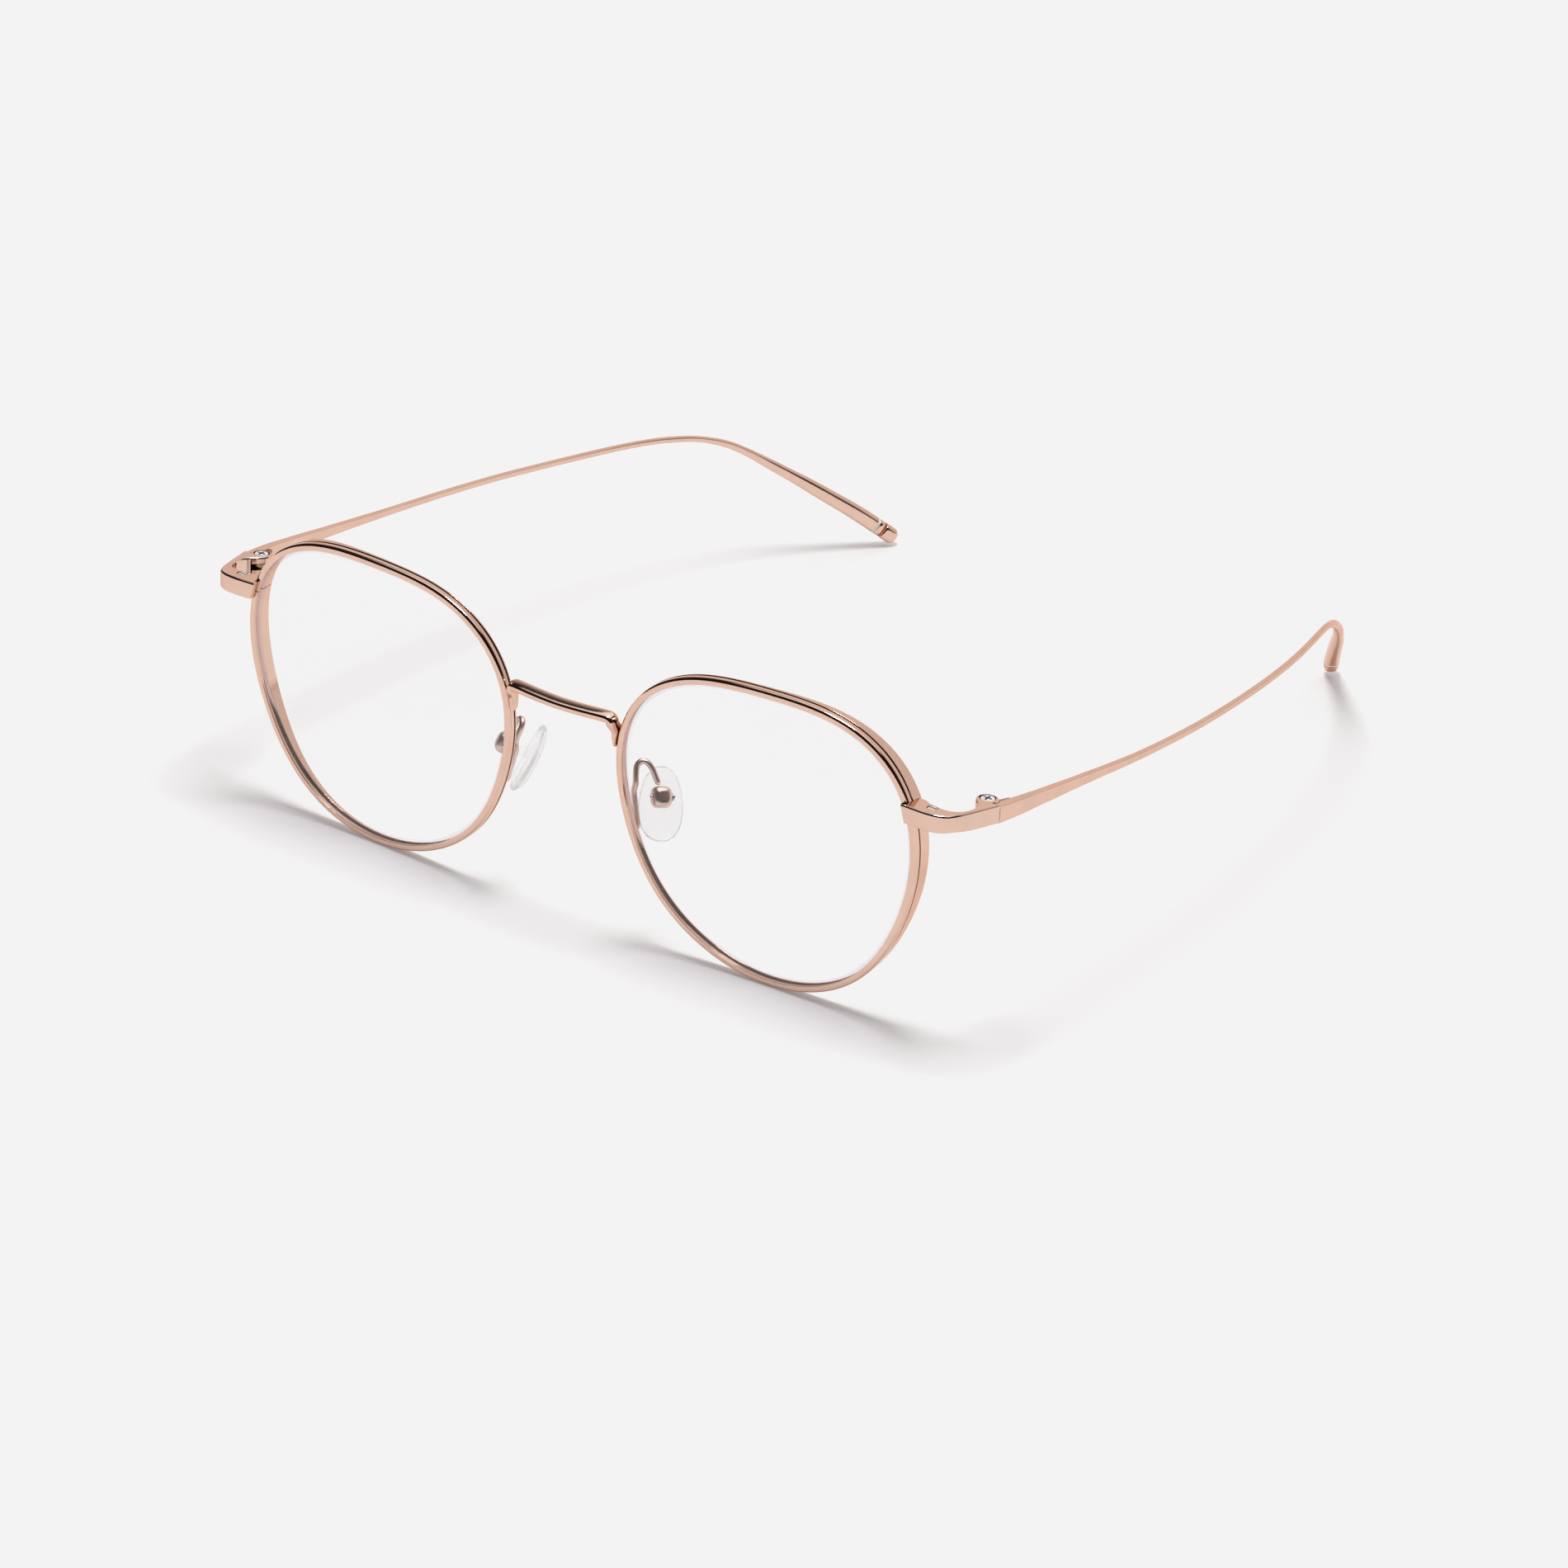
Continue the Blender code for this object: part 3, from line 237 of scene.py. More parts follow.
def loft(rings, material=None, closed=False):
    """Skin over rings of points; closed joins the last ring to the first instead of capping."""
    size, count = len(rings[0]), len(rings)
    verts = [point for ring in rings for point in ring]
    faces = []
    for i in range(count if closed else count - 1):
        faces += band(i * size, (i + 1) % count * size, size)
    if not closed:
        faces.append(tuple(range(size)))
        faces.append(tuple((count - 1) * size + j for j in reversed(range(size))))
    return mesh_object(verts, faces, material)


def prism(outline, low, high):
    """Upright prism between two heights."""
    return loft([[Vector((x, y, z)) for x, y in outline] for z in (low, high)])


def cylinder(centre, radius, low, high, count):
    return prism(circle(centre[0], centre[1], radius, count), low, high)


def block(low, high):
    x0, y0, z0 = low
    x1, y1, z1 = high
    return prism([(x0, y0), (x1, y0), (x1, y1), (x0, y1)], z0, z1)


def level(z):
    """Flat end for smooth_prism."""
    return lambda y: z


def smooth_prism(outline, low, high, material, low_edge, top_edge):
    """Upright prism with rounded edges, each (radius, segments); low and high give z at a y."""
    rings = []
    radius, segments = low_edge
    for k in range(segments + 1):
        angle = 0.5 * math.pi * k / segments
        inset, rise = radius * (1 - math.sin(angle)), radius * (1 - math.cos(angle))
        rings.append([Vector((x, y, low(y) + rise)) for x, y in inset_outline(outline, inset)])
    radius, segments = top_edge
    for k in range(segments + 1):
        angle = 0.5 * math.pi * k / segments
        inset, drop = radius * (1 - math.cos(angle)), radius * (1 - math.sin(angle))
        rings.append([Vector((x, y, high(y) - drop)) for x, y in inset_outline(outline, inset)])
    return loft(rings, material)


def revolve(profile, material, count):
    """Turned piece about Z: profile runs (radius, z) from the axis back to the axis."""
    verts = [Vector((0, 0, profile[0][1]))]
    for radius, z in profile[1:-1]:
        verts += [Vector((x, y, z)) for x, y in circle(0, 0, radius, count)]
    verts.append(Vector((0, 0, profile[-1][1])))
    faces = [(0, 1 + (j + 1) % count, 1 + j) for j in range(count)]
    ring_count = len(profile) - 2
    for i in range(ring_count - 1):
        faces += band(1 + i * count, 1 + (i + 1) * count, count)
    last = 1 + (ring_count - 1) * count
    faces += [(len(verts) - 1, last + j, last + (j + 1) % count) for j in range(count)]
    return mesh_object(verts, faces, material)


def placed(obj, matrix):
    obj.data.transform(matrix)
    return obj


def boolean(obj, other, operation="DIFFERENCE"):
    """Applies one Boolean at once and removes the helper."""
    modifier = obj.modifiers.new("boolean", "BOOLEAN")
    modifier.operation = operation
    modifier.solver = "EXACT"
    modifier.object = other
    bpy.context.view_layer.update()
    graph = bpy.context.evaluated_depsgraph_get()
    mesh = bpy.data.meshes.new_from_object(obj.evaluated_get(graph))
    obj.modifiers.clear()
    old = obj.data
    obj.data = mesh
    bpy.data.meshes.remove(old)
    bpy.data.objects.remove(other, do_unlink=True)


def paint_recess_shade(obj, mats, zones):
    """Painted shade: dark colour on the faces inside upright drums, where shade falls: (axis,
    radius, low, high) each.
    """
    obj.data.materials.append(mats["recess_shade"])
    for face in obj.data.polygons:
        centre = face.center
        for axis, radius, low, high in zones:
            off_axis = math.hypot(centre.x - axis.x, centre.y - axis.y)
            if low < centre.z < high and off_axis < radius:
                face.material_index = 1


# ---- lens opening -----------------------------------------------------------
TILT_TURN = Matrix.Rotation(TILT, 3, "X")
AXIS_U = TILT_TURN @ Vector((math.cos(WRAP), math.sin(WRAP), 0.0))    # outwards, to the temple
AXIS_V = TILT_TURN @ Vector((0, 0, 1))                                # up
AXIS_N = TILT_TURN @ Vector((math.sin(WRAP), -math.cos(WRAP), 0.0))   # forwards


def lens_radius(angle):
    """Radius of the opening; angles run from the temporal side, over the top, to the nose."""
    return LENS_R + sum(cosine * math.cos(order * angle) + sine * math.sin(order * angle)
                        for order, cosine, sine in CROWN)


def opening_point(angle):
    radius = lens_radius(angle)
    return Vector((radius * math.cos(angle), radius * math.sin(angle)))


def lens_normal(angle):
    """Outward normal of the opening curve, along AXIS_U and AXIS_V."""
    step = 1e-4
    along = (opening_point(angle + step) - opening_point(angle - step)).normalized()
    return Vector((along.y, -along.x))


def depth_weight(angle):
    """1 at the deep temporal side of the rim, fading to 0."""
    off = (angle - DEPTH_CENTRE + math.pi) % (2 * math.pi) - math.pi
    return math.exp(-(abs(off) / DEPTH_SPREAD) ** 2.2)


def rim_depth(angle):
    return RIM_DEPTH_MIN + (RIM_DEPTH_MAX - RIM_DEPTH_MIN) * depth_weight(angle)


def lens_point(angle, out, back):
    """Point off the opening: out along its normal, back from the front lip plane."""
    normal = lens_normal(angle)
    radius = lens_radius(angle)
    across = radius * math.cos(angle) + normal.x * out
    up = radius * math.sin(angle) + normal.y * out
    return LENS_CENTRE + AXIS_U * across + AXIS_V * up - AXIS_N * back


def rim_cutter(front):
    """Solid that takes away the rim's own space, and a hairline more, beside the endpiece."""
    start, sweep, steps = math.radians(-6), math.radians(64), 60
    inner, outer, behind = -6.0, RIM_WALL + GAP, 4.0
    rings = []
    for i in range(steps):
        angle = start + sweep * i / (steps - 1)
        depth = rim_depth(angle) + behind
        rings.append([lens_point(angle, inner, front), lens_point(angle, outer, front),
                      lens_point(angle, outer, depth), lens_point(angle, inner, depth)])
    return loft(rings)


# ---- rim and lens -----------------------------------------------------------
def rim_corners(angle):
    """Section of the rim: (out from the opening, back, corner radius, segments)."""
    weight, depth = depth_weight(angle), rim_depth(angle)
    floor = RIM_WALL - STEP_DEPTH
    behind = RIM_WALL - 0.02                 # the outer face is a little lower behind the groove
    seat_out, seat_half = 0.50, 0.16         # floor of the lens groove
    return (
        (0.0, 0.0, 0.05, 3),
        (RIM_WALL, 0.0, 0.66, 12),
        (RIM_WALL, STEP_AT - 0.18, 0.10, 3),
        (floor, STEP_AT - 0.14, 0.03, 1),
        (floor, STEP_AT + 0.08, 0.03, 1),
        (behind, STEP_AT + 0.14, 0.06, 3),
        (behind, depth, 0.11, 4),
        (0.12 * weight + 0.13, depth, 0.09, 3),
        (0.05, GROOVE_END, 0.04, 2),
        (seat_out, GROOVE_MID + seat_half, 0.02, 1),
        (seat_out, GROOVE_MID - seat_half, 0.02, 1),
        (0.0, LIP, 0.03, 2),
    )


def rim(mats):
    half_gap = 0.5 * SPLIT_GAP / lens_radius(SPLIT_ANGLE)
    steps = 300
    rings = []
    for i in range(steps + 1):
        angle = SPLIT_ANGLE + half_gap + (2 * math.pi - 2 * half_gap) * i / steps
        normal, radius = lens_normal(angle), lens_radius(angle)
        base = (LENS_CENTRE + AXIS_U * (radius * math.cos(angle))
                + AXIS_V * (radius * math.sin(angle)))
        outward = AXIS_U * normal.x + AXIS_V * normal.y
        rings.append([base + outward * out - AXIS_N * back
                      for out, back in rounded_poly(rim_corners(angle))])
    obj = loft(rings, mats["rose"])
    # painted shade: the fine groove on the outer face is coloured dark where its shadow falls
    obj.data.materials.append(mats["recess_shade"])
    size = len(rings[0])
    start = sum(segments + 1 for *_, segments in rim_corners(0)[:3])
    groove = set(range(start - 1, start + 5))
    for face in obj.data.polygons:
        if len(face.vertices) == 4 and {v % size for v in face.vertices} <= groove:
            face.material_index = 1
    return obj


def lens(mats):
    front, back = LIP + LENS_PLAY, GROOVE_END - LENS_PLAY
    count = 240
    angles = [2 * math.pi * i / count for i in range(count)]
    fractions = [k / 16 for k in range(1, 16)]
    sunk = LENS_SAG * 0.04
    # edge of the lens: (out from the opening, back from the lip plane)
    edge = (
        (-0.50, front - sunk), (-0.10, front), (0.30, GROOVE_MID - 0.06), (0.36, GROOVE_MID),
        (0.30, GROOVE_MID + 0.06), (-0.10, back), (-0.50, back - sunk),
    )

    def sheet_ring(fraction, depth):
        sheet_back = depth - LENS_SAG * (1 - fraction * fraction)
        ring = []
        for angle in angles:
            radius = lens_radius(angle) * fraction
            ring.append(LENS_CENTRE + AXIS_U * radius * math.cos(angle)
                        + AXIS_V * radius * math.sin(angle) - AXIS_N * sheet_back)
        return ring

    rings = [sheet_ring(fraction, front) for fraction in fractions]
    rings += [[lens_point(angle, out, depth) for angle in angles] for out, depth in edge]
    rings += [sheet_ring(fraction, back) for fraction in reversed(fractions)]
    verts = [point for ring in rings for point in ring]
    faces = []
    for i in range(len(rings) - 1):
        faces += band(i * count, (i + 1) * count, count)
    front_pole, back_pole = len(verts), len(verts) + 1
    verts += [LENS_CENTRE - AXIS_N * (depth - LENS_SAG) for depth in (front, back)]
    last = (len(rings) - 1) * count
    for j in range(count):
        k = (j + 1) % count
        faces += [(front_pole, k, j), (back_pole, last + j, last + k)]
    obj = mesh_object(verts, faces, mats["lens"])
    # the ground edge looks denser than the clear sheet
    obj.data.materials.append(mats["lens_edge"])
    first = len(fractions) * count
    for face in obj.data.polygons:
        if all(first <= v < first + len(edge) * count for v in face.vertices):
            face.material_index = 1
    return obj


# ---- endpiece, hinge and screws ---------------------------------------------
# Plan curves of the endpiece, (x, y): its outer side front to back, its inner side back to front.
ENDPIECE_OUTER = (
    (61.4, 2.76), (63.6, 3.00), (65.15, 3.78), (66.05, 5.25), (66.68, 7.3), (67.38, 9.9),
    (68.12, BUTT_Y),
)
ENDPIECE_INNER = (
    (64.65, 11.9), (65.55, 10.9), (66.02, 9.7), (65.98, 8.3), (65.45, 7.0), (64.4, 6.15),
    (62.9, 5.95), (61.2, 6.25), (60.3, 6.7),
)
# Plan of the tail that runs from the leaf's eye back into the temple, (x, y).
LEAF_TAIL = (
    (HINGE.x + 0.3, HINGE.y - 0.6), (67.46, HINGE.y - 0.45), (67.46, HINGE.y + 3.84),
    (66.6, HINGE.y + 3.84), (65.9, HINGE.y + 2.2), (HINGE.x - 0.4, HINGE.y + 1.3),
)
CLOSING_BLOCK = ((56.6, 4.18), (63.65, 4.18), (63.65, 5.95), (56.6, 5.95))
CUT_LOW, CUT_HIGH = 30, 40                   # heights clear below and above the endpiece


def top_z(y):
    return TOP_Z + TOP_SLOPE * (y - 5.0)


def low_z(y):
    return top_z(y) - HINGE_H + WAIST * math.exp(-((y - WAIST_Y) / WAIST_SPREAD) ** 2)


HINGE_TOP = top_z(HINGE.y)
LOCK_TOP = top_z(LOCK_SCREW.y)
LEAF_Z = 0.5 * (HINGE_TOP + low_z(HINGE.y))


def endpiece_outline():
    outer = spline([Vector((x, y, 0)) for x, y in ENDPIECE_OUTER], 61)
    inner = spline([Vector((x, y, 0)) for x, y in ENDPIECE_INNER], 49)
    points = [(57.7, 2.95), (59.0, 2.883), (60.2, 2.822)] + [(p.x, p.y) for p in outer]
    start = math.asin((BUTT_Y - HINGE.y) / KNUCKLE_R)
    stop = math.radians(212)
    for i in range(41):
        angle = start + (stop - start) * i / 40
        points.append((HINGE.x + KNUCKLE_R * math.cos(angle),
                       HINGE.y + KNUCKLE_R * math.sin(angle)))
    return points + [(p.x, p.y) for p in inner] + [(59.6, 7.0), (57.7, 7.0)]


def slanted_end():
    """Cuts off the endpiece's end towards the nose, on a slant."""
    end_x = 58.05
    tip = prism([(50, 0), (end_x, 0), (end_x, 12), (50, 12)], CUT_LOW, CUT_HIGH)
    for vertex in tip.data.vertices:
        if vertex.co.x > 55:
            vertex.co.x += (TOP_Z - vertex.co.z) * 0.30
    return tip


def endpiece(mats):
    obj = smooth_prism(endpiece_outline(), low_z, top_z, mats["satin"],
                       low_edge=(0.20, 4), top_edge=(0.37, 6))
    half_gap = 0.5 * LEAF_H + 0.06
    boolean(obj, cylinder(HINGE, LEAF_GAP_R, LEAF_Z - half_gap, LEAF_Z + half_gap, 72))
    # holes and sinks of the two screws, and the cuts between them
    boolean(obj, cylinder(HINGE, SCREW_SHANK + 0.07, CUT_LOW, CUT_HIGH, 40))
    boolean(obj, cylinder(HINGE, SCREW_HEAD + 0.12, HINGE_TOP - 0.50, CUT_HIGH, 64))
    boolean(obj, rim_cutter(-GAP))
    boolean(obj, slanted_end())
    # pocket under the top for the closing block
    boolean(obj, block((56.0, 4.10, 28.0), (63.75, 9.0, 35.02)))
    boolean(obj, cylinder(LOCK_SCREW, LOCK_SHANK + 0.06, 34, CUT_HIGH, 32))
    boolean(obj, cylinder(LOCK_SCREW, LOCK_HEAD + 0.08, LOCK_TOP - 0.45, CUT_HIGH, 48))
    # painted shade in the hinge screw's sink, the slot for the leaf and the lock screw's sink
    reach = half_gap + 0.005
    paint_recess_shade(obj, mats, (
        (HINGE, SCREW_HEAD + 0.125, HINGE_TOP - 0.55, HINGE_TOP - 0.02),
        (HINGE, LEAF_GAP_R + 0.02, LEAF_Z - reach, LEAF_Z + reach),
        (LOCK_SCREW, LOCK_HEAD + 0.085, LOCK_TOP - 0.50, LOCK_TOP - 0.02)))
    return obj


def screw(mats, metal_key, centre, head_r, shank_r, head_h, top, low, slot_half, slot_reach,
          cross):
    """Upright screw: domed head with a rounded rim, and a slot or a cross in it."""
    dome, soft = 0.10, 0.12
    profile = [(0, low), (shank_r, low), (shank_r, top - head_h - 0.02),
               (head_r - 0.05, top - head_h), (head_r, top - head_h + 0.05)]
    for k in range(7):
        angle = 0.5 * math.pi * k / 6
        profile.append((head_r - soft * (1 - math.cos(angle)),
                        top - dome - 0.10 + soft * math.sin(angle)))
    dome_r = head_r - soft
    for k in range(1, 6):
        radius = dome_r * (1 - k / 6)
        profile.append((radius, top - dome + 0.02 + (dome - 0.02) * (1 - (radius / dome_r) ** 2)))
    profile.append((0, top))
    obj = revolve(profile, mats[metal_key], 56)
    placed(obj, Matrix.Translation((centre.x, centre.y, 0)))
    reach = head_r * slot_reach
    cuts = [(reach, slot_half), (slot_half, reach)] if cross else [(reach, slot_half)]
    for half_x, half_y in cuts:
        boolean(obj, block((centre.x - half_x, centre.y - half_y, top - 0.30),
                           (centre.x + half_x, centre.y + half_y, top + 1)))
    # painted shade inside the slot or cross
    paint_recess_shade(obj, mats, ((centre, head_r * 0.97, top - 0.33, top - 0.13),))
    return obj


def lock_screw(mats):
    return screw(mats, "brass", LOCK_SCREW, head_r=LOCK_HEAD, shank_r=LOCK_SHANK, head_h=0.36,
                 top=LOCK_TOP + 0.06, low=34.1, slot_half=0.11, slot_reach=1.2, cross=False)


def hinge_screw(mats):
    return screw(mats, "steel", HINGE, head_r=SCREW_HEAD, shank_r=SCREW_SHANK, head_h=0.42,
                 top=HINGE_TOP + 0.04, low=low_z(HINGE.y) + 0.15, slot_half=0.15,
                 slot_reach=0.64, cross=True)


def hinge_leaf(mats):
    low, high = LEAF_Z - 0.5 * LEAF_H, LEAF_Z + 0.5 * LEAF_H
    # painted shade: the leaf is coloured dark because it sits in the shaded slot between the
    # knuckles
    obj = smooth_prism(circle(HINGE.x, HINGE.y, LEAF_R, 64), level(low), level(high),
                       mats["dark"], low_edge=(0.06, 2), top_edge=(0.06, 2))
    boolean(obj, prism(LEAF_TAIL, low, high), "UNION")
    boolean(obj, cylinder(HINGE, SCREW_SHANK + 0.05, CUT_LOW, CUT_HIGH, 40))
    return obj


def closing_block(mats):
    """Block under the endpiece that takes the rim-lock screw."""
    obj = smooth_prism(CLOSING_BLOCK, level(33.62), level(34.92), mats["rose"],
                       low_edge=(0.12, 3), top_edge=(0.08, 2))
    boolean(obj, rim_cutter(-3.0))
    boolean(obj, cylinder(LOCK_SCREW, LOCK_SHANK + 0.05, 34.0, 36, 32))
    return obj


# ---- bridge -----------------------------------------------------------------
# Ends against the rim: (angle on the lens opening in degrees, thickness of the bar).
BRIDGE_ENDS = ((166.5, 0.34), (165.0, 0.50), (163.2, 0.82), (161.0, 1.12))
BRIDGE_CORNER_Y = 2.20
BRIDGE_CORNER_TOP = 35.32
BRIDGE_CORNER_R = 0.85
BRIDGE_CORNER_THICK = 1.26
# Top bar from the corner inwards: (x, y, z, thickness).
BRIDGE_BAR = ((7.0, 1.88, 35.36, 1.25), (4.6, 1.66, 35.30, 1.23), (2.2, 1.52, 35.25, 1.21))
BRIDGE_MIDDLE = (0, 1.46, 35.23, 1.20)


def bridge_stations():
    """Points and thicknesses of the whole bar, from the left rim to the right one."""
    half = []
    for degrees, thick in BRIDGE_ENDS:
        out = RIM_WALL + GAP + 0.03 + 0.5 * thick
        half.append((lens_point(math.radians(degrees), out, 0.75), thick))
    corner = Vector((half[-1][0].x - 0.22 - BRIDGE_CORNER_R, BRIDGE_CORNER_Y,
                     BRIDGE_CORNER_TOP - BRIDGE_CORNER_R))
    for i in range(4):
        angle = math.radians(30 * i)
        offset = Vector((BRIDGE_CORNER_R * math.cos(angle), -0.05 * i,
                         BRIDGE_CORNER_R * math.sin(angle)))
        half.append((corner + offset, BRIDGE_CORNER_THICK))
    half += [(Vector(row[:3]), row[3]) for row in BRIDGE_BAR]
    other = [(Vector((-p.x, p.y, p.z)), thick) for p, thick in reversed(half)]
    return half + [(Vector(BRIDGE_MIDDLE[:3]), BRIDGE_MIDDLE[3])] + other


def bridge(mats):
    stations = bridge_stations()
    thicks = [thick for _, thick in stations]
    count = 181
    path = spline([point for point, _ in stations], count)
    rings = []
    for i, point in enumerate(path):
        along = tangent(path, i)
        deep = Vector((0, 1, 0))
        deep = (deep - along * deep.dot(along)).normalized()
        across = along.cross(deep)
        place = i * (len(thicks) - 1) / (count - 1)
        k = min(int(place), len(thicks) - 2)
        thick = thicks[k] + (thicks[k + 1] - thicks[k]) * (place - k)
        middle = 1 - abs(2 * i / (count - 1) - 1)      # 0 at the ends, 1 in the middle
        width = 1.70 + 0.35 * smoothstep(middle * 1.6)
        end = min(1.0, math.sqrt(max(0.02, min(i, count - 1 - i) / 5.0)))
        lean = math.radians(17) * smoothstep(middle * 2.2)
        back = deep * math.cos(lean) - across * math.sin(lean)
        down = across * math.cos(lean) + deep * math.sin(lean)
        rings.append([point + back * a + down * b
                      for a, b in rounded_section(width * end, thick * end, 44, 3.1)])
    return loft(rings, mats["rose"])


# ---- nose pads --------------------------------------------------------------
# Centre line of the pad arm from its foot on the rim, (x, y, z).
PAD_ARM_LINE = (
    (12.10, 5.36, 17.5), (11.55, 5.46, 19.5), (11.05, 5.62, 21.4), (10.72, 5.75, 22.9),
    (10.85, 5.90, 24.2), (10.62, 6.20, 25.4), (10.42, 6.65, 26.5), (10.72, 7.20, 27.15),
    (11.45, 7.65, 27.1), (12.25, 7.85, 26.3),
)
# Pad from its face to its back: (height, share of the full outline).
PAD_PROFILE = (
    (-0.62, 0.04), (-0.615, 0.25), (-0.60, 0.45), (-0.56, 0.62), (-0.49, 0.76), (-0.37, 0.88),
    (-0.2, 0.965), (0.0, 1.0), (0.18, 0.99), (0.34, 0.955), (0.47, 0.88), (0.55, 0.80),
    (0.60, 0.70), (0.60, 0.4), (0.60, 0.04),
)
PAD_BORE_CUT = 4                             # half length of the bores' cutters
PAD_BOX_WIDEST = -0.12


def pad_frame():
    """Pad box axes: X across the pad, Y up the pad, Z away from the nose."""
    away = (PAD_AWAY - PAD_LONG * PAD_AWAY.dot(PAD_LONG)).normalized()
    across = PAD_LONG.cross(away).normalized()
    matrix = Matrix((across, PAD_LONG, away)).transposed().to_4x4()
    matrix.translation = PAD_BOX
    return matrix


def cross_cylinder(radius, half_length, count):
    """Cylinder along X through the middle of the pad box."""
    return placed(cylinder((0, 0), radius, -half_length, half_length, count), Z_TO_X)


def pad_arm(mats):
    across = PAD_LONG.cross(PAD_AWAY).normalized()
    end = PAD_BOX + PAD_LONG * 1.76 - across * 0.45
    points = [Vector(row) for row in PAD_ARM_LINE]
    path = spline(points + [end.lerp(points[-1], 0.42), end], 121)
    rings = []
    side = tangent(path, 0).cross(Vector((0.3, 1, 0.2))).normalized()
    for i, point in enumerate(path):
        along = tangent(path, i)
        side = (side - along * side.dot(along)).normalized()
        up = along.cross(side)
        end_share = min(1.0, math.sqrt(max(0.03, min(i, len(path) - 1 - i) / 4.0)))
        flat = 1 - 0.16 * (1 - smoothstep(i / 40))     # the foot is flattened
        rings.append([point + ARM_R * end_share * (side * math.cos(angle) * (2 - flat)
                                                   + up * math.sin(angle) * flat)
                      for angle in (2 * math.pi * j / 20 for j in range(20))])
    return loft(rings, mats["mauve"])


def pad_box(mats):
    rings = []
    for k in range(19):
        z = -1.12 + 2.40 * k / 18
        if z > PAD_BOX_WIDEST:
            least, reach, power = 0.30, 1.42, 2.6
        else:
            least, reach, power = 0.80, 1.06, 4.0
        off = abs((z - PAD_BOX_WIDEST) / reach)
        share = least + (1 - least) * max(0.0, 1 - off ** power) ** 0.5
        rings.append([Vector((x, y, z))
                      for x, y in rounded_section(2.95 * share, 3.2 * share, 44, 3.0)])
    obj = loft(rings, mats["mauve"])
    boolean(obj, block((-0.86, -1.12, -3), (0.86, 1.12, 0.72)))
    boolean(obj, cross_cylinder(0.41, PAD_BORE_CUT, 32))
    return placed(obj, pad_frame())


def pad_screw(mats):
    """Slotted screw across the pad box."""
    profile = [(0, -1.85), (0.28, -1.85), (0.34, -1.76), (0.34, 1.52), (0.58, 1.54), (0.62, 1.60)]
    for k in range(6):
        angle = 0.5 * math.pi * k / 5
        profile.append((0.50 + 0.12 * math.cos(angle), 1.82 + 0.12 * math.sin(angle)))
    profile += [(0.25, 1.975), (0, 1.98)]
    obj = revolve(profile, mats["steel"], 40)
    boolean(obj, block((-1.0, -0.09, 1.78), (1.0, 0.09, 3)))
    placed(obj, Z_TO_X)
    return placed(obj, pad_frame())


def nose_pad(mats):
    """Clear pad: domed face, rounded rim, and the lug with its eye."""
    steps = 96
    profile_height = PAD_PROFILE[-1][0] - PAD_PROFILE[0][0]
    rings = []
    for z, share in PAD_PROFILE:
        ring = []
        for i in range(steps):
            angle = 2 * math.pi * i / steps
            half_width = 0.5 * PAD_WIDTH * (1 - 0.10 * math.sin(angle))   # narrower at the top
            x, y = superellipse(angle, half_width, 0.5 * PAD_LENGTH, 2.3, 2.15)
            bend = 0.012 * (y * share) ** 2
            ring.append(Vector((x * share, y * share, z * PAD_THICK / profile_height + bend)))
        rings.append(ring)
    obj = loft(rings, mats["pad"])
    placed(obj, Matrix.Translation(PAD_SHIFT + Vector((0, 0, -PAD_STAND))))
    lug = smooth_prism([(-0.62, -0.72), (0.62, -0.72), (0.62, 0.72), (-0.62, 0.72)],
                       level(-PAD_STAND), level(0.10), mats["pad"],
                       low_edge=(0.05, 1), top_edge=(0.15, 3))
    boolean(obj, lug, "UNION")
    boolean(obj, cross_cylinder(0.72, 0.62, 36), "UNION")
    boolean(obj, cross_cylinder(0.40, PAD_BORE_CUT, 32))
    return placed(obj, pad_frame())


# ---- temples ----------------------------------------------------------------
# Centre line: (distance behind the hinge, x, z).
TEMPLE_LINE = (
    (-0.70, 67.33, 34.46), (4.0, 67.88, 34.08), (10.0, 68.20, 33.50), (20.0, 68.50, 32.46),
    (35.0, 68.80, 30.86), (50.0, 68.50, 29.54), (62.0, 67.66, 28.57), (72.0, 66.55, 27.71),
    (80.0, 65.43, 27.06), (87.0, 64.25, 26.54), (93.0, 63.00, 26.08), (98.0, 61.73, 25.60),
    (102.0, 60.58, 25.02), (105.5, 59.49, 24.34), (109.0, 58.34, 23.28), (112.5, 57.13, 21.82),
    (116.0, 55.72, 19.78), (120.0, 53.98, 17.02), (125.0, 51.30, 13.40), (130.0, 48.42, 9.58),
    (135.0, 45.50, 5.66), (141.3, 41.85, 0.25),
)
# The temples are bent a little differently: (turn inwards at the hinge, stretch to the back).
TEMPLE_SET = {"left": (math.radians(0.36), 1.012), "right": (math.radians(-0.36), 0.988)}
# Section along the temple: (distance along it, value).
TEMPLE_HEIGHT = (
    (0, HINGE_H - 0.1), (5, 2.50), (12, 2.1), (20, 1.62), (28, 1.30), (36, 1.08), (44, WIRE),
    (108, WIRE), (117, 1.32), (126, 1.85), (136, 2.42), (146, 2.70), (170, TIP_HEIGHT),
)
TEMPLE_WIDTH = (
    (0, 1.60), (4, 1.5), (10, 1.2), (20, 1.05), (40, 0.95), (108, 0.95), (117, 1.2),
    (126, 1.7), (136, 2.2), (146, 2.45), (170, TIP_WIDTH),
)
# Superellipse power: nearly square by the hinge, round along the middle, soft oval at the tip.
TEMPLE_POWER = ((0, 7.0), (30, 5.0), (60, 3.2), (105, 2.6), (125, 2.5), (170, 2.6))
TEMPLE_RING_POINTS = 40


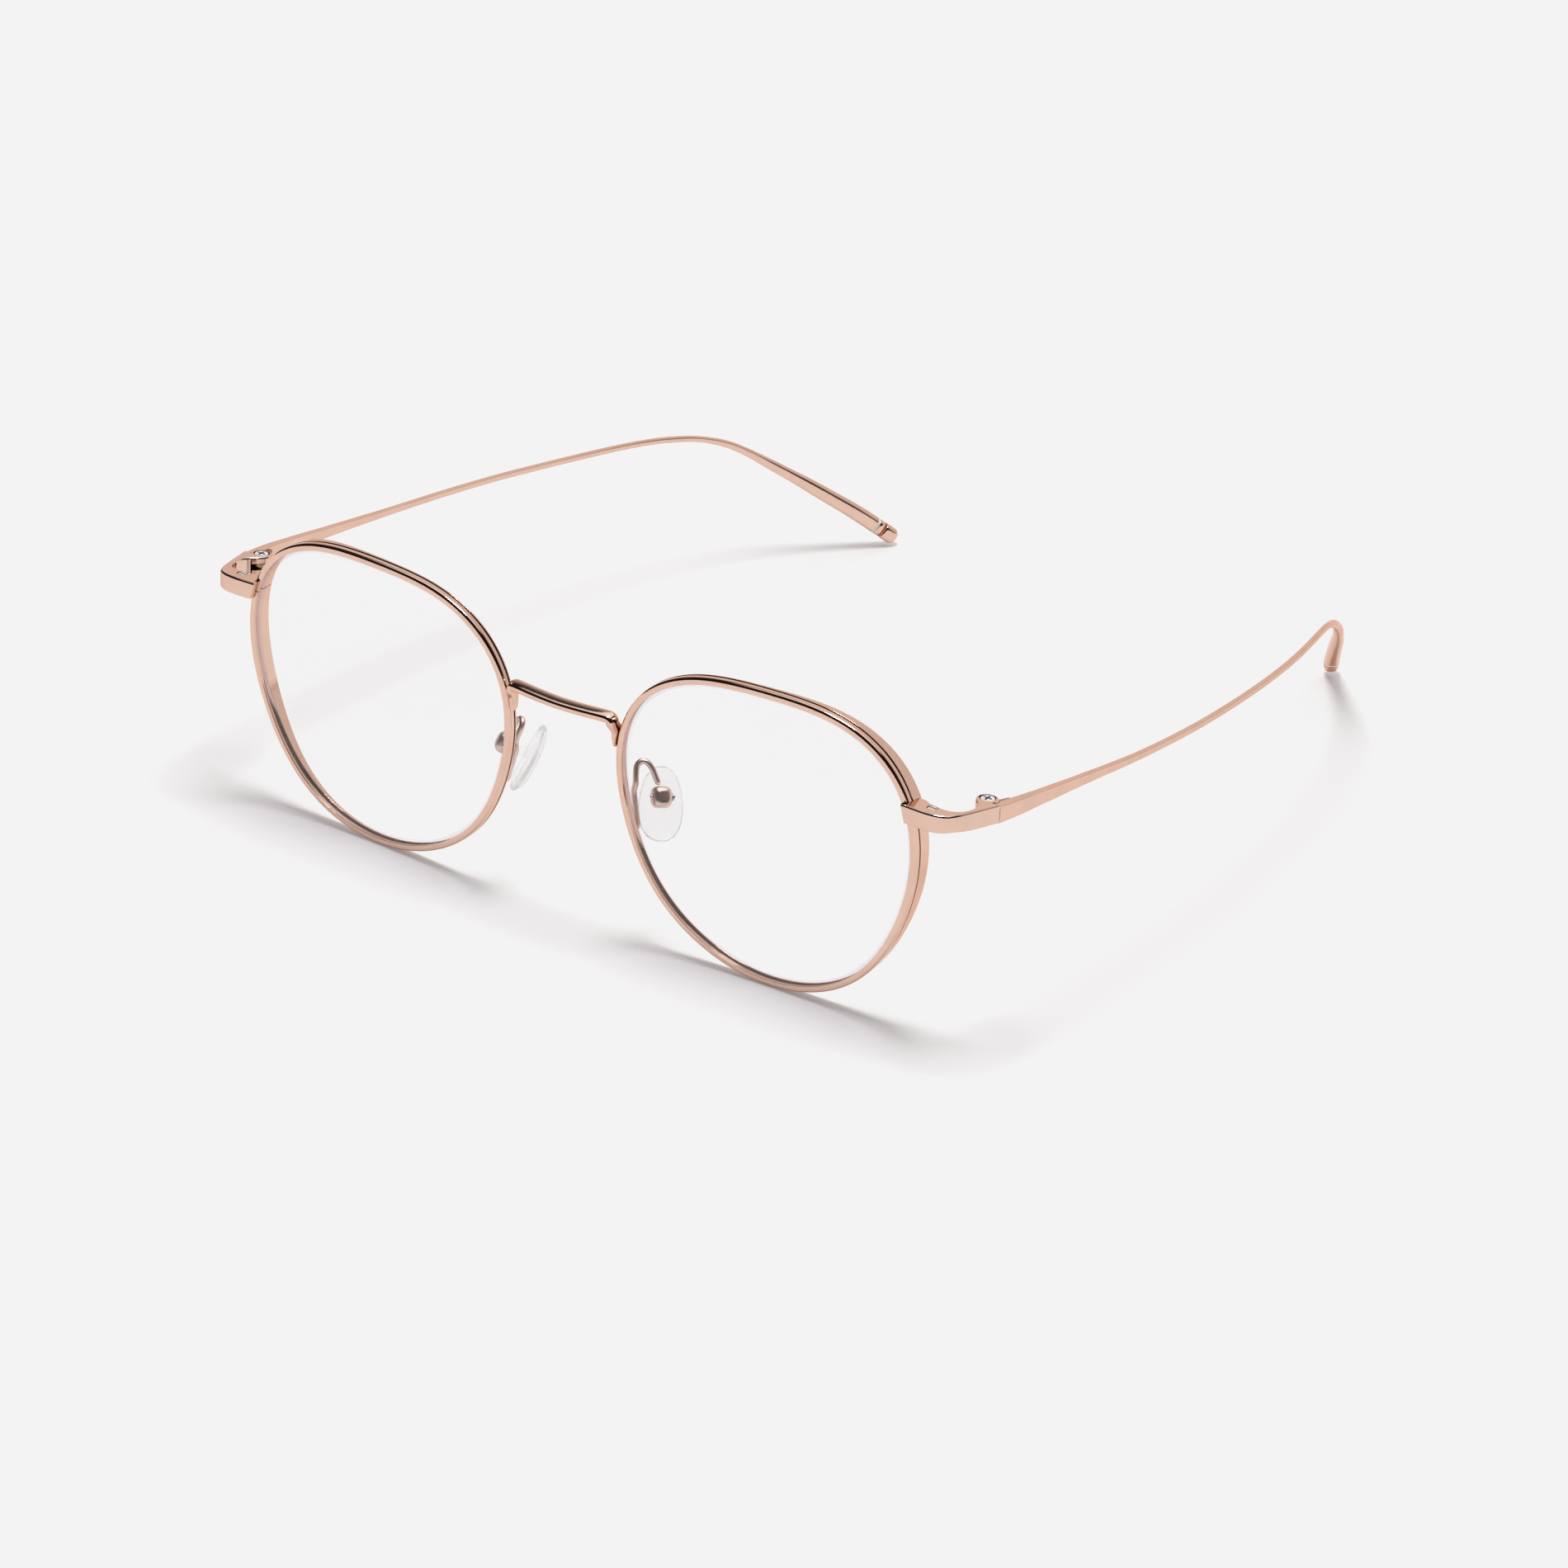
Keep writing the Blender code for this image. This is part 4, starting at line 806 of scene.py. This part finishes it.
def temple_line(side):
    """Centre line of one temple: its points, and the distance along it to each."""
    yaw, stretch = TEMPLE_SET[side]
    turn = Matrix.Rotation(yaw, 3, "Z")
    points = []
    for behind, x, z in TEMPLE_LINE:
        turned = turn @ Vector((x - HINGE.x, behind * stretch, 0))
        points.append(Vector((HINGE.x + turned.x, HINGE.y + turned.y, z)))
    path = spline(points, 1600)
    distances = [0.0]
    for start, stop in zip(path, path[1:]):
        distances.append(distances[-1] + (stop - start).length)
    return path, distances


def temple_ring(line, along, section):
    """Section points set square to the centre line at a distance along it."""
    path, distances = line
    k = 1
    while k < len(distances) - 1 and distances[k] < along:
        k += 1
    share = (along - distances[k - 1]) / (distances[k] - distances[k - 1])
    point = path[k - 1].lerp(path[k], share)
    direction = (path[k] - path[k - 1]).normalized()
    side = direction.cross(Vector((0, 0, 1))).normalized()
    top = side.cross(direction).normalized()
    return [point + side * a + top * b for a, b in section]


def strip_ring(line, along, scale=1.0):
    section = rounded_section(curve_at(TEMPLE_WIDTH, along) * scale,
                              curve_at(TEMPLE_HEIGHT, along) * scale,
                              TEMPLE_RING_POINTS, curve_at(TEMPLE_POWER, along))
    return temple_ring(line, along, section)


def round_ring(line, along, diameter):
    section = rounded_section(diameter, diameter, TEMPLE_RING_POINTS, 2.0)
    return temple_ring(line, along, section)


def temple_bar(mats, line, end, cap):
    """Bar up to the inlay ring, with the spigot that runs on into the cap."""
    rings = [strip_ring(line, end * i / 260) for i in range(261)]
    rings += [round_ring(line, along, SPIGOT) for along in (end, cap + 1.4)]
    for point in rings[0]:
        point.y = BUTT_Y + 0.10
    obj = loft(rings, mats["rose"])
    half_slot = 0.5 * LEAF_H + 0.03
    boolean(obj, block((64.0, 12.0, LEAF_Z - half_slot),
                       (67.52, HINGE.y + 3.9, LEAF_Z + half_slot)))
    boolean(obj, cylinder(HINGE, KNUCKLE_R + 0.10, CUT_LOW, CUT_HIGH, 72))
    return obj


def sleeve(line, start, stop, scale, material):
    """Ring round the spigot, with softened edges."""
    soft = min(0.08, 0.3 * (stop - start))
    rows = [(start, scale - 0.07), (start + 0.4 * soft, scale - 0.02), (start + soft, scale),
            (stop - soft, scale), (stop - 0.4 * soft, scale - 0.02), (stop, scale - 0.07)]
    outer = [strip_ring(line, along, share) for along, share in rows]
    inner = [round_ring(line, along, SPIGOT_BORE) for along in (stop, start)]
    return loft(outer + inner, material, closed=True)


def tip_cap(mats, line, cap, total):
    """Rounded end cap with a blind bore for the spigot."""
    edge, end_round = 0.14, 1.0
    straight = CAP_LENGTH - edge - end_round
    rows = [(cap, 0.93), (cap + 0.05, 0.98), (cap + edge, 1.0)]
    rows += [(cap + edge + straight * k / 6, 1.0 + 0.015 * math.sin(math.pi * k / 6))
             for k in range(1, 7)]
    for k in range(1, 12):
        angle = 0.5 * math.pi * k / 12
        rows.append((total - end_round + end_round * math.sin(angle),
                     0.30 + 0.70 * math.cos(angle)))
    rings = [strip_ring(line, along, share) for along, share in rows]
    rings += [round_ring(line, along, SPIGOT_BORE) for along in (cap + 1.55, cap)]
    size = TEMPLE_RING_POINTS
    end = (len(rows) - 1) * size
    bore_end, bore_mouth = len(rows) * size, (len(rows) + 1) * size
    faces = []
    for i in range(len(rows) - 1):
        faces += band(i * size, (i + 1) * size, size)
    faces += [tuple(range(end, end + size)), tuple(range(bore_end, bore_end + size))]
    faces += band(bore_end, bore_mouth, size) + band(bore_mouth, 0, size)
    return mesh_object([point for ring in rings for point in ring], faces, mats["rose"])


def temple_pieces(mats, side):
    """Temple, its three rings and its cap, by the name of the node each stands for."""
    line = temple_line(side)
    total = line[1][-1]
    cap = total - CAP_LENGTH
    groove = cap - GROOVE_RING
    collar = groove - COLLAR
    inlay = collar - INLAY_RING
    return {
        "temple": temple_bar(mats, line, inlay, cap),
        "inlay_ring": sleeve(line, inlay + RING_GAP, collar - RING_GAP, 1.02, mats["cream"]),
        "tip_collar": sleeve(line, collar, groove - RING_GAP, 1.0, mats["rose"]),
        "groove_ring": sleeve(line, groove, cap - RING_GAP, 0.95, mats["copper"]),
        "tip_cap": tip_cap(mats, line, cap, total),
    }


# ---- shader helpers ---------------------------------------------------------
def add_node(tree, kind, inputs, **settings):
    """Adds a shader node; inputs maps its sockets to plain values or to other nodes' outputs."""
    node = tree.nodes.new("ShaderNode" + kind)
    for name, value in settings.items():
        setattr(node, name, value)
    feed(tree, node, inputs)
    return node


def feed(tree, node, inputs):
    for key, value in inputs.items():
        if isinstance(value, bpy.types.NodeSocket):
            tree.links.new(value, node.inputs[key])
        else:
            node.inputs[key].default_value = value


def new_material(name):
    """A new material, its tree, its Principled node and its object coordinates."""
    material = bpy.data.materials.new(name)
    material.use_nodes = True
    tree = material.node_tree
    coord = add_node(tree, "TexCoord", {}).outputs["Object"]
    return material, tree, tree.nodes["Principled BSDF"], coord


def noise(tree, coord, scale, detail, rough=0.5, stretch=None):
    if stretch:
        coord = add_node(tree, "Mapping", {"Scale": stretch, "Vector": coord}).outputs["Vector"]
    inputs = {"Scale": scale, "Detail": detail, "Roughness": rough, "Vector": coord}
    return add_node(tree, "TexNoise", inputs).outputs["Fac"]


def remap(tree, value, low, high, source=(0.3, 0.7)):
    """Takes the source range of value to low..high."""
    return add_node(tree, "MapRange", {
        "From Min": source[0], "From Max": source[1], "To Min": low, "To Max": high,
        "Value": value}).outputs["Result"]


def ramp(tree, value, stops):
    """Colour ramp from (position, colour) stops."""
    node = add_node(tree, "ValToRGB", {"Fac": value})
    while len(node.color_ramp.elements) < len(stops):
        node.color_ramp.elements.new(0.5)
    for element, (position, colour) in zip(node.color_ramp.elements, stops):
        element.position = position
        element.color = (*colour, 1.0)
    return node.outputs["Color"]


def calculate(tree, operation, *values):
    return add_node(tree, "Math", dict(enumerate(values)), operation=operation).outputs[0]


def bump(tree, height, distance, **under):
    """Bump normal; distance in metres."""
    inputs = {"Distance": distance, "Height": height, **under}
    return add_node(tree, "Bump", inputs).outputs["Normal"]


def mix_colour(tree, factor, first, second, **settings):
    # sockets 6 and 7, and output 2, are the colour ones
    inputs = {"Factor": factor, 6: first, 7: second}
    return add_node(tree, "Mix", inputs, data_type="RGBA", **settings).outputs[2]


def mix_shader(tree, share, first, second):
    return add_node(tree, "MixShader", {"Fac": share, 1: first, 2: second}).outputs["Shader"]


def shaded(colour, factor):
    return tuple(min(1.0, channel * factor) for channel in colour)


# ---- materials --------------------------------------------------------------
def metal(name, colour, rough_low, rough_high, peel=0.000004):
    """Plated metal: cloudy tone, varying polish, fine hairlines and a faint orange-peel."""
    material, tree, bsdf, coord = new_material(name)
    clouds = noise(tree, coord, scale=260.0, detail=4.0, rough=0.55)
    fine = noise(tree, coord, scale=5200.0, detail=2.0)
    hair = noise(tree, coord, scale=900.0, detail=3.0, rough=0.6, stretch=(1.0, 0.06, 9.0))
    peel_normal = bump(tree, fine, distance=peel)
    feed(tree, bsdf, {
        "Base Color": ramp(tree, clouds, ((0.30, shaded(colour, 0.95)), (0.55, colour),
                                          (0.75, shaded(colour, 1.03)))),
        "Metallic": 1.0,
        "Specular Tint": (*(min(1.0, 0.25 + 0.80 * channel) for channel in colour), 1.0),
        "Roughness": remap(tree, clouds, rough_low, rough_high),
        "Normal": bump(tree, hair, distance=0.0000015, Normal=peel_normal),
    })
    return material


def lacquer(name, colour, rough, metallic=0.0):
    """Enamel fill: slight pooling of colour, small roughness changes, soft surface waves."""
    material, tree, bsdf, coord = new_material(name)
    pool = noise(tree, coord, scale=900.0, detail=3.0)
    waves = noise(tree, coord, scale=3000.0, detail=2.0)
    feed(tree, bsdf, {
        "Base Color": ramp(tree, pool, ((0.30, shaded(colour, 0.82)), (0.6, colour),
                                        (0.8, shaded(colour, 1.08)))),
        "Metallic": metallic,
        "Roughness": remap(tree, pool, rough * 0.8, rough * 1.25),
        "Normal": bump(tree, waves, distance=0.00002),
    })
    return material


def clear(name, tint, rim_tint, edge_blend, rough, coat=1.0, veil=0.0):
    """Thin clear sheet: light passes straight through and the surface adds its mirror share.

    rim_tint shows at grazing angles, a painted lilac reflection of the lens coating that also
    darkens the edges; coat scales the mirror share; veil adds a milky body.
    """
    material, tree, bsdf, coord = new_material(name)
    tree.nodes.remove(bsdf)
    smear = noise(tree, coord, scale=120.0, detail=4.0, rough=0.6)
    facing = add_node(tree, "LayerWeight", {"Blend": edge_blend}).outputs["Facing"]
    # painted reflection: light through the sheet turns lilac and darker at grazing angles
    colour = ramp(tree, facing, ((0.0, tint), (0.62, tint), (1.0, rim_tint)))
    through = add_node(tree, "BsdfTransparent", {"Color": colour}).outputs["BSDF"]
    gloss_rough = remap(tree, smear, rough * 0.5, rough * 1.6)
    gloss = add_node(tree, "BsdfGlossy", {"Roughness": gloss_rough}).outputs["BSDF"]
    # mirror share after Schlick, the same from both sides of the sheet
    plain = add_node(tree, "LayerWeight", {"Blend": 0.5}).outputs["Facing"]
    ior = 1.5
    head_on = ((ior - 1) / (ior + 1)) ** 2
    share = calculate(tree, "MULTIPLY_ADD", calculate(tree, "POWER", plain, 5.0),
                      (1 - head_on) * coat, head_on * coat)
    surface = mix_shader(tree, share, through, gloss)
    if veil:
        body = add_node(tree, "BsdfTranslucent", {"Color": (0.90, 0.90, 0.88, 1)}).outputs["BSDF"]
        surface = mix_shader(tree, remap(tree, smear, veil * 0.7, veil * 1.3), surface, body)
    feed(tree, tree.nodes["Material Output"], {"Surface": surface})
    return material


def silicone(name):
    """Clear soft silicone: refracts, a little milky, with tiny waves; its shadow stays light."""
    material, tree, bsdf, coord = new_material(name)
    haze = noise(tree, coord, scale=420.0, detail=3.0)
    waves = noise(tree, coord, scale=1400.0, detail=2.0)
    feed(tree, bsdf, {
        "Base Color": ramp(tree, haze, ((0.3, (0.955, 0.96, 0.95)), (0.7, (0.985, 0.985, 0.98)))),
        "Transmission Weight": 1.0,
        "IOR": 1.30,
        "Roughness": remap(tree, haze, 0.03, 0.10),
        "Normal": bump(tree, waves, distance=0.00002),
    })
    through = add_node(tree, "BsdfTransparent", {"Color": (0.93, 0.93, 0.93, 1)}).outputs["BSDF"]
    shadow = add_node(tree, "LightPath", {}).outputs["Is Shadow Ray"]
    least_through = 0.42                     # share that passes straight for every other ray
    surface = mix_shader(tree, calculate(tree, "MAXIMUM", shadow, least_through),
                         bsdf.outputs["BSDF"], through)
    feed(tree, tree.nodes["Material Output"], {"Surface": surface})
    return material


def make_materials():
    return {
        "rose": metal("rose_gold_polished", colour=(0.79, 0.55, 0.435),
                      rough_low=0.04, rough_high=0.09),
        "satin": metal("rose_gold_satin", colour=(0.78, 0.55, 0.44),
                       rough_low=0.07, rough_high=0.12, peel=0.000003),
        "mauve": metal("rose_gold_cast", colour=(0.76, 0.61, 0.56),
                       rough_low=0.30, rough_high=0.42, peel=0.000006),
        "dark": metal("hinge_leaf_painted_shade", colour=(0.42, 0.27, 0.20),
                      # painted shade: the hinge leaf is coloured dark for the shade in its slot
                      # between the knuckles
                      rough_low=0.25, rough_high=0.38, peel=0.00002),
        # painted shade for the rim groove, the screw sinks and slots, and the slot for the hinge
        # leaf
        "recess_shade": metal("recess_painted_shade", colour=(0.10, 0.045, 0.03),
                         rough_low=0.35, rough_high=0.50, peel=0.00002),
        "steel": metal("screw_steel", colour=(0.93, 0.92, 0.91),
                       rough_low=0.12, rough_high=0.22),
        "cream": lacquer("cream_enamel", colour=(0.96, 0.92, 0.83), rough=0.45),
        "copper": lacquer("copper_lacquer", colour=(0.52, 0.14, 0.05), rough=0.28,
                          metallic=0.45),
        # rim_tint: painted lilac reflection of the lens coating towards the edges
        "lens": clear("lens_clear", tint=(0.985, 0.985, 0.985), rim_tint=(0.72, 0.70, 0.76),
                      edge_blend=0.55, rough=0.02, coat=0.4),
        "lens_edge": clear("lens_edge", tint=(0.94, 0.93, 0.96), rim_tint=(0.80, 0.77, 0.84),
                           edge_blend=0.4, rough=0.03, veil=0.07),
        "brass": metal("screw_brass", colour=(0.96, 0.85, 0.68),
                       rough_low=0.08, rough_high=0.16),
        "pad": silicone("silicone_clear"),
    }


# ---- assembly ---------------------------------------------------------------
def stand():
    """From the frame's own axes, millimetres, to the model's, metres."""
    lean = (Matrix.Translation((0, STANCE_Y, 0)) @ Matrix.Rotation(STANCE, 4, "X")
            @ Matrix.Translation((0, -STANCE_Y, 0)))
    return Matrix.Scale(METRES_PER_MM, 4) @ Matrix.Translation((0, -ORIGIN_Y, 0)) @ lean


def show(obj, node, mirror, body, sharp):
    """Puts one piece in place, shades it and ties it to its CAD node; sharp is in degrees."""
    matrix = stand()
    if mirror:
        matrix = matrix @ Matrix.Scale(-1, 4, Vector((1, 0, 0)))
    placed(obj, matrix)
    fix_normals(obj.data)
    obj.name = obj.data.name = f"{node}_fine"
    obj.data.shade_smooth()
    obj.data.set_sharp_from_angle(angle=math.radians(sharp))
    # weighted normals keep flats flat beside their rounded edges
    modifier = obj.modifiers.new("weighted", "WEIGHTED_NORMAL")
    modifier.keep_sharp = True
    modifier.weight = 60
    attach(obj, body)
    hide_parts(node)


def build():
    mats = make_materials()
    show(bridge(mats), "bridge", False, "front", 60)
    for side, mirror in (("left", False), ("right", True)):
        def put(obj, node, body, sharp):
            show(obj, f"{node}_{side}", mirror, body, sharp)

        put(rim(mats), "rim", "front", 50)
        put(lens(mats), "lens", "front", 30)
        put(endpiece(mats), "endpiece", "front", 32)
        put(closing_block(mats), "closing_block", "front", 32)
        put(lock_screw(mats), "rim_lock_screw", "front", 32)
        put(hinge_screw(mats), "hinge_screw", "front", 32)
        put(pad_arm(mats), "pad_arm", "front", 60)
        put(pad_box(mats), "pad_box", "front", 40)
        put(pad_screw(mats), "pad_screw", "front", 32)
        put(nose_pad(mats), "nose_pad", f"pad_body_{side}", 45)
        for name, obj in temple_pieces(mats, side).items():
            put(obj, name, f"temple_body_{side}",
                50 if name == "temple" else 38)
        put(hinge_leaf(mats), "hinge_leaf", f"temple_body_{side}", 32)


# ---- floor, light, camera ---------------------------------------------------
# Camera in the frame's own axes, millimetres.
CAMERA_AT = (449.12, -608.20, 382.45)
CAMERA_LOOK = (-0.50402, 0.75016, -0.42804)
CAMERA_RIGHT = (0.81704, 0.57480, 0.04530)
FOCAL_LENGTH = 133.3174737
SENSOR_WIDTH = 36.0
# Floor and lights in the model's axes, metres and watts.
FLOOR_SIZE = 4.0
FLOOR_TONE = 0.80
FLOOR_TONE_SPREAD = 0.004
FLOOR_GLOW = 0.165                           # the paper's own glow under the lamp
CEILING = 1.15                               # brightness of the ceiling in reflections
LAMP_POWER = 1.5
LAMP_SIZE = 0.17
LAMP_AT = (0.016, -0.06, 0.49)
PAPER = 0.896                                # display tone where highlights level off


def floor_glow(tree, coord):
    """Glow that grows where the lamp's light falls off, so the paper stays even."""
    under_lamp = (LAMP_AT[0], LAMP_AT[1], 0.0)
    where = add_node(tree, "VectorMath", {0: coord, 1: under_lamp}, operation="DISTANCE")
    distance = where.outputs["Value"]
    height_squared = LAMP_AT[2] ** 2
    square = calculate(tree, "MULTIPLY", distance, distance)
    slant = calculate(tree, "DIVIDE", height_squared,
                      calculate(tree, "ADD", square, height_squared))
    near = calculate(tree, "POWER", slant, 2.0)
    lamp_share = FLOOR_TONE * LAMP_POWER / (math.pi ** 2 * height_squared)
    missing = calculate(tree, "MULTIPLY", calculate(tree, "SUBTRACT", 1.0, near), lamp_share)
    return calculate(tree, "ADD", missing, FLOOR_GLOW)


def stage():
    mesh = bpy.data.meshes.new("floor")
    edit = bmesh.new()
    bmesh.ops.create_grid(edit, x_segments=8, y_segments=8, size=FLOOR_SIZE)
    edit.to_mesh(mesh)
    edit.free()
    floor = bpy.data.objects.new("floor", mesh)
    bpy.context.scene.collection.objects.link(floor)
    material, tree, bsdf, coord = new_material("floor_paper")
    grain = noise(tree, coord, scale=3.0, detail=2.0)
    feed(tree, bsdf, {
        "Base Color": ramp(tree, grain, ((0.3, (FLOOR_TONE - FLOOR_TONE_SPREAD,) * 3),
                                         (0.7, (FLOOR_TONE + FLOOR_TONE_SPREAD,) * 3))),
        "Roughness": 0.9,
        "Specular IOR Level": 0.1,
        "Emission Color": (1.0, 0.965, 0.995, 1),
        "Emission Strength": floor_glow(tree, coord),
    })
    mesh.materials.append(material)


def sky():
    """Studio round the table: bright ceiling, light wall behind, dark side to the camera."""
    world = bpy.data.worlds.new("studio")
    bpy.context.scene.world = world
    world.use_nodes = True
    tree = world.node_tree
    coord = add_node(tree, "TexCoord", {}).outputs["Generated"]
    split = add_node(tree, "SeparateXYZ", {"Vector": coord}).outputs
    # dark at -Y, light at +Y
    wall = ramp(tree, remap(tree, split["Y"], 0.0, 1.0, source=(-0.75, 0.8)), (
        (0.0, (0.016, 0.009, 0.009)), (0.70, (0.030, 0.020, 0.020)),
        (0.80, (0.50, 0.47, 0.48)), (0.88, (0.80, 0.77, 0.78)), (1.0, (0.90, 0.86, 0.87))))
    # cooler and brighter towards -X
    cool, warm = (0.98, 1.0, 1.0), (0.88, 0.84, 0.82)
    sides = ramp(tree, remap(tree, split["X"], 0.0, 1.0, source=(-1.0, 1.0)),
                 ((0.0, cool), (0.30, cool), (0.60, warm), (1.0, warm)))
    walls = mix_colour(tree, 1.0, wall, sides, blend_type="MULTIPLY")
    # the ceiling is high up, and stops short on the camera's side
    overhead = calculate(tree, "MULTIPLY",
                         remap(tree, split["Z"], 0.0, 1.0, source=(0.80, 0.85)),
                         remap(tree, split["Y"], 0.0, 1.0, source=(-0.16, -0.04)))
    studio = mix_colour(tree, overhead, walls, (CEILING, CEILING, CEILING, 1))
    # seen directly or through clear pieces it is a pale backdrop; reflections show the studio
    path = add_node(tree, "LightPath", {}).outputs
    direct = calculate(tree, "MAXIMUM", path["Is Camera Ray"], path["Is Transmission Ray"])
    seen = mix_colour(tree, direct, studio, (0.95, 0.945, 0.95, 1))
    feed(tree, tree.nodes["Background"], {"Color": seen, "Strength": 1.0})


def lights():
    """One round soft box that looks straight down over the lens end of the frame."""
    data = bpy.data.lights.new("overhead", "AREA")
    data.shape = "DISK"
    data.size = LAMP_SIZE
    data.energy = LAMP_POWER
    data.color = (1.0, 0.995, 0.99)
    lamp = bpy.data.objects.new("overhead", data)
    bpy.context.scene.collection.objects.link(lamp)
    lamp.location = LAMP_AT
    down = Vector((0, 0, -LAMP_AT[2]))
    lamp.rotation_euler = down.to_track_quat("-Z", "Y").to_euler()


def camera():
    data = bpy.data.cameras.new("camera")
    data.sensor_width = SENSOR_WIDTH
    data.lens = FOCAL_LENGTH
    data.clip_start, data.clip_end = 0.05, 20.0
    obj = bpy.data.objects.new("camera", data)
    bpy.context.scene.collection.objects.link(obj)
    look = Vector(CAMERA_LOOK).normalized()
    right = Vector(CAMERA_RIGHT)
    right = (right - look * right.dot(look)).normalized()
    up = right.cross(look)
    matrix = Matrix((right, up, -look)).transposed().to_4x4()
    matrix.translation = Vector(CAMERA_AT)
    full = stand() @ matrix
    # the turn alone, without the scale to metres
    rotation = full.to_quaternion().to_matrix().to_4x4()
    obj.matrix_world = Matrix.Translation(full.translation) @ rotation
    bpy.context.scene.camera = obj


def tones():
    """Plain display transform whose highlights level off at the tone of the paper."""
    view = bpy.context.scene.view_settings
    view.view_transform = "Standard"
    view.use_curve_mapping = True
    curve = view.curve_mapping.curves[3]     # the combined curve
    curve.points[0].location = (0.0, 0.0)
    curve.points[1].location = (1.0, PAPER)
    for bright, shown in ((0.55, 0.55), (0.80, 0.797), (PAPER + 0.03, PAPER)):
        curve.points.new(bright, shown)
    for point in curve.points:
        point.handle_type = "VECTOR"
    view.curve_mapping.update()


build()
stage()
sky()
lights()
camera()
tones()
bpy.context.view_layer.update()
